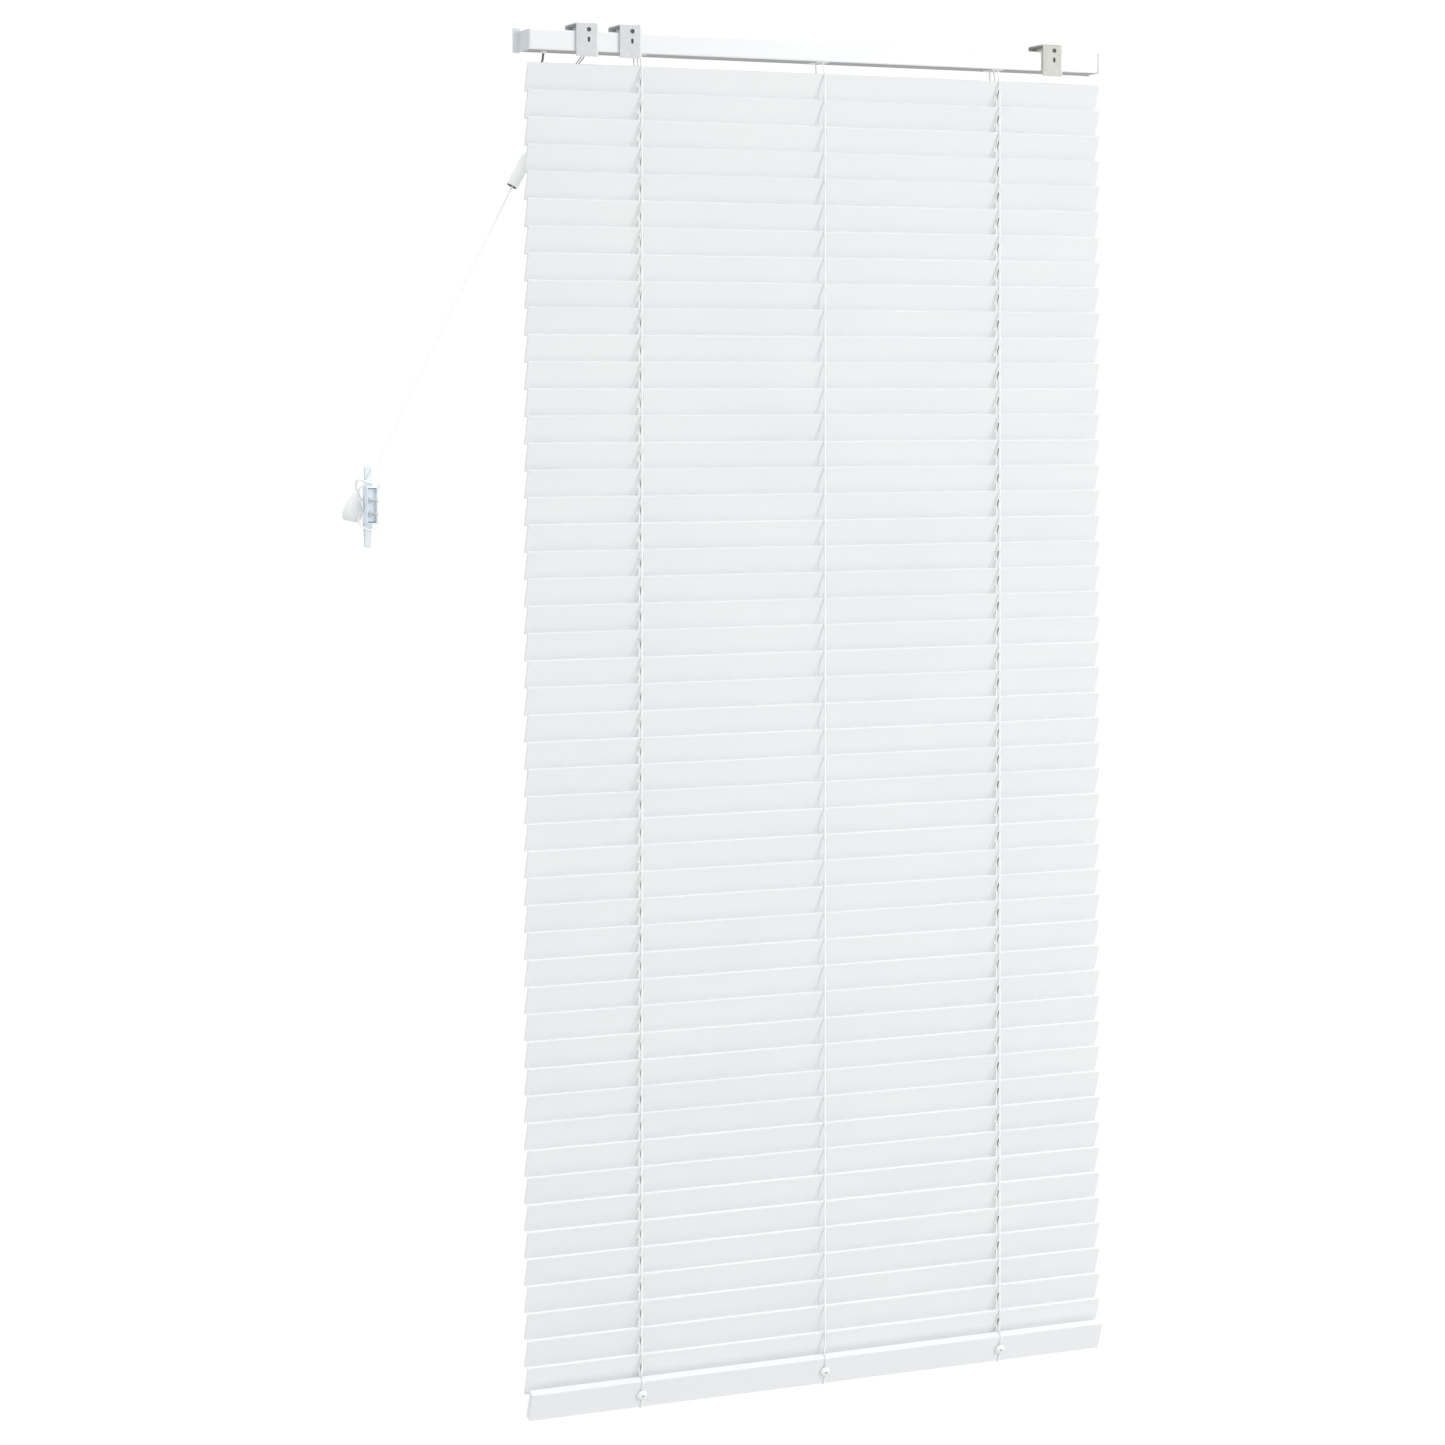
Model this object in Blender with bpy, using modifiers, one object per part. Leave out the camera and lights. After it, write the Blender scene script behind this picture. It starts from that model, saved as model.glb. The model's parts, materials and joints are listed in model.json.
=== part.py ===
"""Venetian blind with flat 35 mm slats, 750 mm wide, hung closed.

Every length is in millimetres and is turned into metres by mm().
Frame: +X along the slats, +Y from the window into the room, +Z up.
The origin is on the window side of the fixing brackets, half way along the
blind and level with the brackets' tops.

Each slat turns about a line 11.8 mm above its middle, so that it hangs under
the window edge of the headrail when it is closed and under its middle when it
is open, as a slat does on its ladder cords.
"""
import math

import bmesh
import bpy
from mathutils import Matrix, Vector

# Slats
SLAT_COUNT = 49
SLAT_LENGTH = 750.0
SLAT_WIDTH = 35.0
SLAT_THICKNESS = 3.0
SLAT_PITCH = 31.3
CLOSED_TILT = math.radians(69.0)      # from level to the closed position
PIVOT_Y = 21.0                        # the middle of the headrail
PIVOT_RISE = 11.8                     # pivot line above the slat's middle plane
FIRST_PIVOT_Z = -60.1
SLOT_LENGTH = 15.0
SLOT_WIDTH = 3.4
SLOT_ARC_STEPS = 5

# Ladders and cords
LADDER_X = 235.0                      # left and right of the middle ladder
STRING_DIAMETER = 1.4
STRING_GAP = 2.4                      # from a slat's edge to the string's middle
PULL_CORD_DIAMETER = 2.2
CORD_POINT_SPACING = 9.6
WRAP_POINT_SPACING = 4.6

# Bottom rail
RAIL_ENDS = (-372.0, 375.4)
RAIL_THICKNESS = 10.0
RAIL_PIVOT_Z = -1589.2
PLUG_HOLE_RADIUS = 4.6
PLUG_HOLE_DEPTH = 6.0
CORD_HOLE_RADIUS = 2.0

# Headrail: a steel channel, open at the top, with two lips turned inwards
HEADRAIL_LENGTH = 748.0
HEADRAIL_BACK_Y = 3.0
HEADRAIL_FRONT_Y = 39.0
HEADRAIL_TOP_Z = -9.3
HEADRAIL_BOTTOM_Z = -33.0
SHEET = 1.0
LIP = 4.5
LADDER_OPENING = (16.0, 31.0)         # along X, along Y
LOCK_OPENING = (22.0, 8.0)
LOCK_OPENING_CENTRE = (-294.0, 33.0)
HOOK_HOLE_CENTRE = (-350.0, 20.5)
HOOK_HOLE_RADIUS = 4.0
END_CAP = 1.6
FLANGE_REACH = 7.0                    # beyond the headrail's end
FLANGE_Y = (38.5, 41.0)
FLANGE_Z = (-34.4, -5.3)

# Brackets
BRACKET_X = {"bracket_left": -303.1, "bracket_right": 308.4}
BRACKET_WIDTH = 27.8
BRACKET_HEIGHT = 38.8
BRACKET_REACH = 38.5
PLATE = 1.5
TIP_LIP = 5.5
CLIP_WIDTH = 12.0
CLIP_SHEET = 1.2
CLIP_HEIGHT = 12.1
CLIP_HOOK = 3.0
CLIP_BACK_Y = 8.0
SCREW_HOLE_RADIUS = 2.7
SCREW_HOLE_X = 1.6
SCREW_HOLE_Z = -7.5
LOW_SLOT = (3.2, 6.0)
LOW_SLOT_Z = -19.0
TOP_HOLE_Y = 30.0

# Tilt rod with its three cord drums
ROD_Z = -20.0
ROD_RADIUS = 3.0
ROD_ENDS = (-334.0, 322.0)
DRUM_RADIUS = 6.8
DRUM_RIM_RADIUS = 8.2
DRUM_RIM = 1.6
DRUM_LENGTH = 13.0

# Tilt wand
WAND_X = -344.0
WAND_Y = 57.0
WAND_TOP_Z = -58.0
WAND_LENGTH = 700.0

# Cleat for the pull cord
CLEAT_X = -562.0
CLEAT_Z = -557.3
CLEAT_BODY = (13.2, 16.5)             # X, Y
CLEAT_BODY_ENDS = (-576.2, -534.4)    # Z
CLEAT_WALL = 1.5
HORN_BAR = (7.6, 6.0, 92.5)
HORN_TIP_CUT = 2.4
BOSS_RADIUS = 3.0
BOSS_SPACING = 15.4
SCREW_RADIUS = 2.1
SCREW_REACH = 18.0                    # behind the cleat's rim, into the wall

STEEL = (0.80, 0.81, 0.81)
WHITE_STEEL = (0.90, 0.90, 0.90)
SLAT_WHITE = (0.86, 0.87, 0.87)
CORD_WHITE = (0.88, 0.88, 0.86)
CLEAT_WHITE = (0.84, 0.88, 0.91)


def mm(value):
    """Millimetres to metres."""
    return value / 1000.0


def point(x, y, z):
    return Vector((mm(x), mm(y), mm(z)))


def clear_scene():
    for old in list(bpy.data.objects):
        bpy.data.objects.remove(old, do_unlink=True)


def new_collection(name):
    collection = bpy.data.collections.new(name)
    bpy.context.scene.collection.children.link(collection)
    return collection


def new_material(name, colour, roughness, metallic=0.0):
    material = bpy.data.materials.new(name)
    material.use_nodes = True
    shader = material.node_tree.nodes["Principled BSDF"]
    shader.inputs["Base Color"].default_value = (*colour, 1.0)
    shader.inputs["Roughness"].default_value = roughness
    shader.inputs["Metallic"].default_value = metallic
    material.diffuse_color = (*colour, 1.0)
    return material


clear_scene()
PARTS = new_collection("venetian_blind")
CUTTERS = new_collection("cutters")


def add_object(name, data, collection=PARTS):
    obj = bpy.data.objects.new(name, data)
    collection.objects.link(obj)
    return obj


def mesh_of(obj):
    """The evaluated mesh of an object, with its loose caps welded on."""
    bpy.context.view_layer.update()
    evaluated = obj.evaluated_get(bpy.context.evaluated_depsgraph_get())
    mesh = bpy.data.meshes.new_from_object(evaluated)
    work = bmesh.new()
    work.from_mesh(mesh)
    bmesh.ops.remove_doubles(work, verts=work.verts, dist=1e-6)
    bmesh.ops.recalc_face_normals(work, faces=work.faces)
    work.to_mesh(mesh)
    work.free()
    return mesh


def box(name, low, high, collection=CUTTERS):
    """A box from its lowest corner to its highest, both in millimetres."""
    low, high = point(*low), point(*high)
    work = bmesh.new()
    bmesh.ops.create_cube(work, size=1.0)
    bmesh.ops.scale(work, verts=work.verts, vec=high - low)
    bmesh.ops.translate(work, verts=work.verts, vec=(low + high) / 2)
    mesh = bpy.data.meshes.new(name)
    work.to_mesh(mesh)
    work.free()
    return add_object(name, mesh, collection)


def rod(name, start, end, radius, sides=12, collection=CUTTERS):
    """A cylinder between two points, all in millimetres."""
    start, end = point(*start), point(*end)
    axis = end - start
    work = bmesh.new()
    bmesh.ops.create_cone(work, cap_ends=True, segments=sides, radius1=mm(radius),
                          radius2=mm(radius), depth=axis.length)
    turn = Vector((0, 0, 1)).rotation_difference(axis).to_matrix().to_4x4()
    bmesh.ops.transform(work, matrix=Matrix.Translation((start + end) / 2) @ turn, verts=work.verts)
    mesh = bpy.data.meshes.new(name)
    work.to_mesh(mesh)
    work.free()
    return add_object(name, mesh, collection)


def plate(name, outline, thickness, matrix=Matrix.Identity(4), collection=CUTTERS):
    """A flat outline in X and Y, in millimetres, given a thickness about z = 0."""
    curve = bpy.data.curves.new(name, "CURVE")
    curve.dimensions = "2D"
    curve.fill_mode = "BOTH"
    curve.extrude = mm(thickness) / 2
    spline = curve.splines.new("POLY")
    spline.points.add(len(outline) - 1)
    for spot, (x, y) in zip(spline.points, outline):
        spot.co = (mm(x), mm(y), 0.0, 1.0)
    spline.use_cyclic_u = True
    flat = add_object(name + "_outline", curve, CUTTERS)
    mesh = mesh_of(flat)
    mesh.transform(matrix)
    bpy.data.objects.remove(flat)
    return add_object(name, mesh, collection)


# Turns an outline drawn in (Y, Z) so that its thickness runs along X.
SIDE_VIEW = Matrix(((0, 0, 1, 0), (1, 0, 0, 0), (0, 1, 0, 0), (0, 0, 0, 1)))


def stadium(length, width, steps):
    """An outline with round ends, its length along Y."""
    radius = width / 2
    reach = length / 2 - radius
    ends = []
    for side in (1, -1):
        for step in range(steps + 1):
            angle = math.pi * step / steps + (0 if side > 0 else math.pi)
            ends.append((radius * math.cos(angle), side * reach + radius * math.sin(angle)))
    return ends


def combine(target, tools, operation):
    """Applies Boolean tools to a target, one after another, and keeps the mesh."""
    for tool in tools:
        modifier = target.modifiers.new(operation.lower(), "BOOLEAN")
        modifier.operation = operation
        modifier.solver = "EXACT"
        modifier.object = tool
    solid = mesh_of(target)
    target.modifiers.clear()
    target.data = solid
    for tool in tools:
        tool.hide_render = True
        tool.display_type = "WIRE"
    return target


def finish(obj, material):
    """Gives an object its material, and shades its round faces smooth."""
    obj.data.materials.clear()
    obj.data.materials.append(material)
    if obj.type == "MESH":
        obj.data.shade_smooth()
        obj.data.set_sharp_from_angle(angle=math.radians(35))
    return obj


def set_origin(obj, origin):
    """Moves an object's origin to a point and leaves its shape where it is."""
    obj.data.transform(Matrix.Translation(-origin))
    obj.location = origin
    return obj


def pivot(index):
    """The pivot of slat number index, counted from 1."""
    return point(0, PIVOT_Y, FIRST_PIVOT_Z - SLAT_PITCH * (index - 1))


def turned(y, z, tilt=-CLOSED_TILT):
    """A point (y, z) of a level slat's frame after the slat has tilted."""
    return (y * math.cos(tilt) - z * math.sin(tilt), y * math.sin(tilt) + z * math.cos(tilt))


def slat_mesh():
    """A level slat, 11.8 mm under its pivot, with two slots for the lift cords."""
    half = (SLAT_LENGTH / 2, SLAT_WIDTH / 2, SLAT_THICKNESS / 2)
    blank = box("slat_blank", (-half[0], -half[1], -PIVOT_RISE - half[2]),
                (half[0], half[1], -PIVOT_RISE + half[2]))
    slots = []
    for side in (-1, 1):
        place = Matrix.Translation(point(side * LADDER_X, 0, -PIVOT_RISE))
        slots.append(plate("route_slot", stadium(SLOT_LENGTH, SLOT_WIDTH, SLOT_ARC_STEPS), 8.0, place))
    combine(blank, slots, "DIFFERENCE")
    mesh = blank.data
    bpy.data.objects.remove(blank)
    mesh.name = "slat"
    return mesh


def make_slats(material):
    mesh = slat_mesh()
    for index in range(1, SLAT_COUNT + 1):
        slat = add_object(f"slat_{index:02d}", mesh)
        slat.location = pivot(index)
        slat.rotation_euler.x = -CLOSED_TILT
    finish(slat, material)


def make_bottom_rail(material):
    """A thicker slat whose upper face lies where a slat's upper face would be."""
    top = -PIVOT_RISE + SLAT_THICKNESS / 2
    bottom = top - RAIL_THICKNESS
    left, right = RAIL_ENDS
    rail = box("bottom_rail", (left, -SLAT_WIDTH / 2, bottom), (right, SLAT_WIDTH / 2, top), PARTS)
    holes = []
    for x in (-LADDER_X, 0.0, LADDER_X):
        holes.append(rod("plug_hole", (x, 0, bottom - 2), (x, 0, bottom + PLUG_HOLE_DEPTH), PLUG_HOLE_RADIUS))
        if x:
            holes.append(rod("cord_hole", (x, 0, bottom - 2), (x, 0, top + 2), CORD_HOLE_RADIUS, 8))
    combine(rail, holes, "DIFFERENCE")
    rail.location = point(0, PIVOT_Y, RAIL_PIVOT_Z)
    rail.rotation_euler.x = -CLOSED_TILT
    finish(rail, material)


def make_headrail(material):
    """The channel with its openings, closed at its ends by caps with a flange to the room."""
    back, front, top, bottom = HEADRAIL_BACK_Y, HEADRAIL_FRONT_Y, HEADRAIL_TOP_Z, HEADRAIL_BOTTOM_Z
    outline = [(back, bottom), (front, bottom), (front, top), (front - LIP, top),
               (front - LIP, top - SHEET), (front - SHEET, top - SHEET),
               (front - SHEET, bottom + SHEET), (back + SHEET, bottom + SHEET),
               (back + SHEET, top - SHEET), (back + LIP, top - SHEET), (back + LIP, top), (back, top)]
    rail = plate("headrail", outline, HEADRAIL_LENGTH, SIDE_VIEW, PARTS)
    low, high = bottom - 2, bottom + 3
    openings = []
    for x in (-LADDER_X, 0.0, LADDER_X):
        dx, dy = LADDER_OPENING[0] / 2, LADDER_OPENING[1] / 2
        openings.append(box("ladder_opening", (x - dx, PIVOT_Y - dy, low), (x + dx, PIVOT_Y + dy, high)))
    x, y = LOCK_OPENING_CENTRE
    dx, dy = LOCK_OPENING[0] / 2, LOCK_OPENING[1] / 2
    openings.append(box("lock_opening", (x - dx, y - dy, low), (x + dx, y + dy, high)))
    x, y = HOOK_HOLE_CENTRE
    openings.append(rod("hook_hole", (x, y, low), (x, y, high), HOOK_HOLE_RADIUS))
    combine(rail, openings, "DIFFERENCE")
    caps = []
    for side in (-1, 1):
        end = side * HEADRAIL_LENGTH / 2
        faces = sorted((end, end - side * END_CAP))
        caps.append(box("end_cap", (faces[0], back, bottom), (faces[1], front, top)))
        tips = sorted((end - side * END_CAP, end + side * FLANGE_REACH))
        caps.append(box("end_flange", (tips[0], FLANGE_Y[0], FLANGE_Z[0]), (tips[1], FLANGE_Y[1], FLANGE_Z[1])))
    combine(rail, caps, "UNION")
    finish(rail, material)


def make_bracket(name, material):
    """An L of sheet steel: a plate, an arm over the headrail, and a clip under the arm."""
    middle = BRACKET_X[name]
    along = Matrix.Translation(point(middle, 0, 0)) @ SIDE_VIEW
    angle = [(0, 0), (0, -BRACKET_HEIGHT), (PLATE, -BRACKET_HEIGHT), (PLATE, -PLATE),
             (BRACKET_REACH - PLATE, -PLATE), (BRACKET_REACH - PLATE, -TIP_LIP),
             (BRACKET_REACH, -TIP_LIP), (BRACKET_REACH, 0)]
    bracket = plate(name, angle, BRACKET_WIDTH, along, PARTS)
    back, front = CLIP_BACK_Y, 2 * PIVOT_Y - CLIP_BACK_Y
    sheet, height, hook = CLIP_SHEET, CLIP_HEIGHT, CLIP_HOOK
    clip_outline = [(back - hook, -height), (back + sheet, -height), (back + sheet, -PLATE - sheet),
                    (front - sheet, -PLATE - sheet), (front - sheet, -height), (front + hook, -height),
                    (front + hook, sheet - height), (front, sheet - height), (front, -PLATE / 2),
                    (back, -PLATE / 2), (back, sheet - height), (back - hook, sheet - height)]
    clip = plate("clip", clip_outline, CLIP_WIDTH, along)
    combine(bracket, [clip], "UNION")
    hole_x = middle + SCREW_HOLE_X
    slot_place = Matrix.Translation(point(hole_x, 0, LOW_SLOT_Z)) @ Matrix.Rotation(math.pi / 2, 4, "X")
    holes = [rod("screw_hole", (hole_x, -3, SCREW_HOLE_Z), (hole_x, 4, SCREW_HOLE_Z), SCREW_HOLE_RADIUS),
             plate("low_slot", stadium(LOW_SLOT[1], LOW_SLOT[0], 4), 8.0, slot_place),
             rod("top_hole", (middle, TOP_HOLE_Y, -6), (middle, TOP_HOLE_Y, 3), SCREW_HOLE_RADIUS)]
    combine(bracket, holes, "DIFFERENCE")
    finish(bracket, material)


def turned_solid(name, profile, sides):
    """A profile of (radius, height) pairs, in millimetres, turned about its own Z axis."""
    mesh = bpy.data.meshes.new(name)
    points = [(mm(radius), 0.0, mm(height)) for radius, height in profile]
    edges = [(i, i + 1) for i in range(len(points) - 1)]
    mesh.from_pydata(points, edges, [])
    shape = add_object(name, mesh)
    screw = shape.modifiers.new("turn", "SCREW")
    screw.axis = "Z"
    screw.steps = sides
    screw.render_steps = sides
    screw.use_merge_vertices = True
    screw.merge_threshold = 0.00001
    return shape


def make_tilt_rod(material):
    """The rod and its three drums as one turned solid, laid along X."""
    start, end = ROD_ENDS
    profile = [(0, end), (ROD_RADIUS, end)]
    for x in (LADDER_X, 0.0, -LADDER_X):
        outer = DRUM_LENGTH / 2 + DRUM_RIM
        inner = DRUM_LENGTH / 2
        profile += [(ROD_RADIUS, x + outer), (DRUM_RIM_RADIUS, x + outer), (DRUM_RIM_RADIUS, x + inner),
                    (DRUM_RADIUS, x + inner), (DRUM_RADIUS, x - inner), (DRUM_RIM_RADIUS, x - inner),
                    (DRUM_RIM_RADIUS, x - outer), (ROD_RADIUS, x - outer)]
    profile += [(ROD_RADIUS, start), (0, start)]
    shaft = turned_solid("tilt_rod", profile, 12)
    shaft.rotation_euler.y = math.pi / 2
    shaft.location = point(0, PIVOT_Y, ROD_Z)
    finish(shaft, material)


def make_tilt_wand(material):
    """A six-sided wand with a collar at the top and a grip at the bottom."""
    length = WAND_LENGTH
    profile = [(0, 0), (2.2, 0), (3.6, -2), (3.6, -16), (4.4, -18), (4.4, 92 - length),
               (5.6, 84 - length), (5.6, 3 - length), (4.6, -length), (0, -length)]
    wand = turned_solid("tilt_wand", profile, 6)
    wand.location = point(WAND_X, WAND_Y, WAND_TOP_Z)
    finish(wand, material)


def smooth_route(stations, spacing, wrap_from, wrap_spacing):
    """Points along a smooth curve through the stations, closer from station wrap_from on."""
    stations = [Vector(s) for s in stations]
    ghost = [2 * stations[0] - stations[1]] + stations + [2 * stations[-1] - stations[-2]]
    path = [stations[0]]
    for i in range(1, len(ghost) - 2):
        a, b, c, d = ghost[i - 1:i + 3]
        gap = wrap_spacing if i > wrap_from else spacing
        count = max(1, round((c - b).length / gap))
        knots = [0.0]
        for p, q in ((a, b), (b, c), (c, d)):
            knots.append(knots[-1] + math.sqrt((q - p).length))
        for step in range(1, count + 1):
            t = knots[1] + (knots[2] - knots[1]) * step / count
            low = [a.lerp(b, (t - knots[0]) / (knots[1] - knots[0])),
                   b.lerp(c, (t - knots[1]) / (knots[2] - knots[1])),
                   c.lerp(d, (t - knots[2]) / (knots[3] - knots[2]))]
            mid = [low[0].lerp(low[1], (t - knots[0]) / (knots[2] - knots[0])),
                   low[1].lerp(low[2], (t - knots[1]) / (knots[3] - knots[1]))]
            path.append(mid[0].lerp(mid[1], (t - knots[1]) / (knots[2] - knots[1])))
    return path


def tube(name, path, diameter, material, radii=None):
    """A cord with filled ends along a list of points in millimetres, thicker where radii say so."""
    curve = bpy.data.curves.new(name, "CURVE")
    curve.dimensions = "3D"
    curve.bevel_depth = mm(diameter) / 2
    curve.bevel_resolution = 2
    curve.use_fill_caps = True
    spline = curve.splines.new("POLY")
    spline.points.add(len(path) - 1)
    for i, (spot, station) in enumerate(zip(spline.points, path)):
        spot.co = (*point(*station), 1.0)
        if radii:
            spot.radius = radii[i] / (diameter / 2)
    cord = add_object(name, curve)
    return finish(cord, material)


def make_ladder_and_lift_cords(material):
    """The left ladder's two strings and the lift cord between them, all upright.

    Each has its origin on the line that it is hinged on, at the middle slat.
    """
    middle_slat = (SLAT_COUNT + 1) // 2
    strings = (("ladder_cord_rear", -SLAT_WIDTH / 2, -STRING_GAP, -1, 11),
               ("ladder_cord_front", SLAT_WIDTH / 2, STRING_GAP, 12, 4),
               ("lift_cord", 0, 0, 18, 26))
    for name, across, gap, top, bottom in strings:
        y, z = turned(across, -PIVOT_RISE)
        ends = [(-LADDER_X, PIVOT_Y + y + gap, FIRST_PIVOT_Z + z + top),
                (-LADDER_X, PIVOT_Y + y + gap, RAIL_PIVOT_Z + z + bottom)]
        string = tube(name, ends, STRING_DIAMETER, material)
        set_origin(string, pivot(middle_slat) + point(0, y, z))


# The pull cord leaves the headrail's cord lock, runs taut through its joiner to the
# cleat, makes a figure of eight on it and ends in its tassel.
JOINER_ENDS = ((-356.3, 51.2, -149.8), (-377.9, 51.5, -188.2))
TASSEL_ENDS = ((-570.2, 33.0, -540.5), (-577.4, 33.0, -574.0))
CORD_TO_JOINER = [
    (-294.6, 32.4, -26.0), (-295.4, 34.4, -34.2), (-299.6, 40.8, -42.4), (-305.5, 45.4, -52.0),
    (-329.9, 48.2, -98.9), JOINER_ENDS[0],
]
CORD_TO_TASSEL = [
    JOINER_ENDS[1], (-436.2, 39.1, -295.8), (-494.5, 26.6, -403.3), (-544.5, 16.0, -495.5),
    (-554.0, 12.8, -512.5),
    (-562.6, 10.6, -526.0), (-571.8, 12.0, -534.5), (-573.0, 18.5, -542.0), (-562.0, 25.6, -555.5),
    (-551.2, 18.0, -571.0), (-552.4, 9.6, -579.2), (-562.0, 6.0, -583.0), (-571.8, 9.6, -579.2),
    (-572.8, 18.0, -571.0), (-562.0, 28.4, -555.5), (-551.2, 18.0, -541.0), (-552.2, 9.0, -531.6),
    (-562.0, 5.5, -529.6), (-570.8, 8.5, -527.5), (-574.4, 17.0, -527.0), (-573.4, 26.0, -531.0),
    (-571.2, 31.6, -537.5), TASSEL_ENDS[0],
]
WRAP_START = 5

# Distance down the joiner or the tassel, and radius there
JOINER_PROFILE = [(0.4, 4.9), (2.4, 6.2), (5.4, 6.9), (9.0, 7.0), (43.0, 7.0), (43.7, 6.4)]
TASSEL_PROFILE = [(0.4, 2.2), (1.6, 3.2), (3.8, 4.4), (6.7, 5.8), (11.2, 7.4), (16.2, 9.0), (21.2, 10.3),
                  (26.1, 11.1), (29.7, 11.2), (32.9, 10.6), (34.2, 9.3)]


def swollen(ends, profile):
    """Points and radii along a straight piece that is threaded on the cord."""
    start, end = Vector(ends[0]), Vector(ends[1])
    along = (end - start).normalized()
    return [(start + along * distance, radius) for distance, radius in profile]


def make_pull_cord(material):
    spacing = CORD_POINT_SPACING * 1.6
    to_joiner = smooth_route(CORD_TO_JOINER, spacing, len(CORD_TO_JOINER), spacing)
    to_tassel = smooth_route(CORD_TO_TASSEL, spacing, WRAP_START, WRAP_POINT_SPACING)
    radius = PULL_CORD_DIAMETER / 2
    stations = [(spot, radius) for spot in to_joiner] + swollen(JOINER_ENDS, JOINER_PROFILE)
    stations += [(spot, radius) for spot in to_tassel] + swollen(TASSEL_ENDS, TASSEL_PROFILE)
    path, radii = zip(*stations)
    tube("pull_cord", path, PULL_CORD_DIAMETER, material, radii)


def make_cleat(material):
    """A hollow body, open at its back, with two screws in it, under a bar with two horns."""
    width, depth = CLEAT_BODY
    bottom, top = CLEAT_BODY_ENDS
    bar_width, bar_depth, bar_height = HORN_BAR
    x, z = CLEAT_X, CLEAT_Z
    cleat = box("cord_cleat", (x - width / 2, 0, bottom), (x + width / 2, depth, top), PARTS)
    inner = width / 2 - CLEAT_WALL
    hollow = box("cleat_hollow", (x - inner, -3, bottom + CLEAT_WALL), (x + inner, depth - 2.4, top - CLEAT_WALL))
    combine(cleat, [hollow], "DIFFERENCE")
    half, cut, low = bar_height / 2, HORN_TIP_CUT, depth - 1.0
    high = low + bar_depth
    bar_outline = [(low, z - half + 3 * cut), (low + cut, z - half), (high - cut / 2, z - half),
                   (high, z - half + cut), (high, z + half - cut), (high - cut / 2, z + half),
                   (low + cut, z + half), (low, z + half - 3 * cut)]
    bar = plate("horn_bar", bar_outline, bar_width, Matrix.Translation(point(x, 0, 0)) @ SIDE_VIEW)
    screws = []
    for side in (-1, 1):
        screw_z = z + side * BOSS_SPACING / 2
        screws.append(rod("boss", (x, 0, screw_z), (x, depth - 1.2, screw_z), BOSS_RADIUS, 10))
        screws.append(rod("screw", (x, -SCREW_REACH, screw_z), (x, depth - 1.6, screw_z), SCREW_RADIUS, 8))
    combine(cleat, [bar] + screws, "UNION")
    set_origin(cleat, point(x, 0, z))
    finish(cleat, material)


def build():
    slat_paint = new_material("slat_paint", SLAT_WHITE, 0.45)
    rail_paint = new_material("rail_paint", SLAT_WHITE, 0.45)
    steel_paint = new_material("headrail_paint", WHITE_STEEL, 0.40)
    zinc = new_material("bracket_zinc", STEEL, 0.45, 0.9)
    rod_steel = new_material("rod_steel", STEEL, 0.40, 0.9)
    wand_plastic = new_material("wand_plastic", WHITE_STEEL, 0.30)
    string = new_material("string", CORD_WHITE, 0.80)
    cord = new_material("pull_cord", CORD_WHITE, 0.80)
    cleat_plastic = new_material("cleat_plastic", CLEAT_WHITE, 0.35)
    make_headrail(steel_paint)
    for name in BRACKET_X:
        make_bracket(name, zinc)
    make_tilt_rod(rod_steel)
    make_tilt_wand(wand_plastic)
    make_slats(slat_paint)
    make_bottom_rail(rail_paint)
    make_ladder_and_lift_cords(string)
    make_pull_cord(cord)
    make_cleat(cleat_plastic)
    for cutter in CUTTERS.objects:
        cutter.hide_render = True
        cutter.display_type = "WIRE"


build()
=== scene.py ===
"""Looks of the venetian blind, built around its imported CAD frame.

Lengths are in millimetres until mm() or point() turns them into metres.
+X runs along the slats, +Y from the window into the room, +Z up.
"""
import json
import math

import bmesh
import bpy
from mathutils import Matrix, Vector


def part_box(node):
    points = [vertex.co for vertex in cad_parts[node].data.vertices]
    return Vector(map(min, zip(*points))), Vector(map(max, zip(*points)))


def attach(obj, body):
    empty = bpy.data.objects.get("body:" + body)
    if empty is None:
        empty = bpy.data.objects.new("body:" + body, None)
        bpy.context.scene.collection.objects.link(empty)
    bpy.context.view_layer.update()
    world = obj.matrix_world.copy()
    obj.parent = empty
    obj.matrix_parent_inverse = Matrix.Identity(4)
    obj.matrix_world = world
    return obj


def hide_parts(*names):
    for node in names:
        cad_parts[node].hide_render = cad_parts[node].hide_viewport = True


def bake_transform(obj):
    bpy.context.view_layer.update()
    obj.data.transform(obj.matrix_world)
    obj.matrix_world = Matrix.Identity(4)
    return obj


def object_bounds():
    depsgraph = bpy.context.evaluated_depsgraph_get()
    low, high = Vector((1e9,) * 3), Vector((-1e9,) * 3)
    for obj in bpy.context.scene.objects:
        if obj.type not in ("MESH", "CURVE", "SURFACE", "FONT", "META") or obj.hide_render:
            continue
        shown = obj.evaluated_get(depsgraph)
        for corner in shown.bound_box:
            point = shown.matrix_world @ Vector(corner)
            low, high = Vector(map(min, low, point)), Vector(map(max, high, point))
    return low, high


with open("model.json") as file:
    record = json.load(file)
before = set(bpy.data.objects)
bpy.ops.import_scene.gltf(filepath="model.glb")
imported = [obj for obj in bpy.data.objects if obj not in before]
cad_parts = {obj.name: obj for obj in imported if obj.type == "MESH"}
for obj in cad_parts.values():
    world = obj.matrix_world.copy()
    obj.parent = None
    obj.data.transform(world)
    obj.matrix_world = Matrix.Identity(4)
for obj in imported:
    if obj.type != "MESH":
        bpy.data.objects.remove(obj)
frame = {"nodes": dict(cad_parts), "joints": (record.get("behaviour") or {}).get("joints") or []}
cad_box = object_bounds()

JOINTS = {joint["name"]: joint for joint in frame["joints"]}
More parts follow.
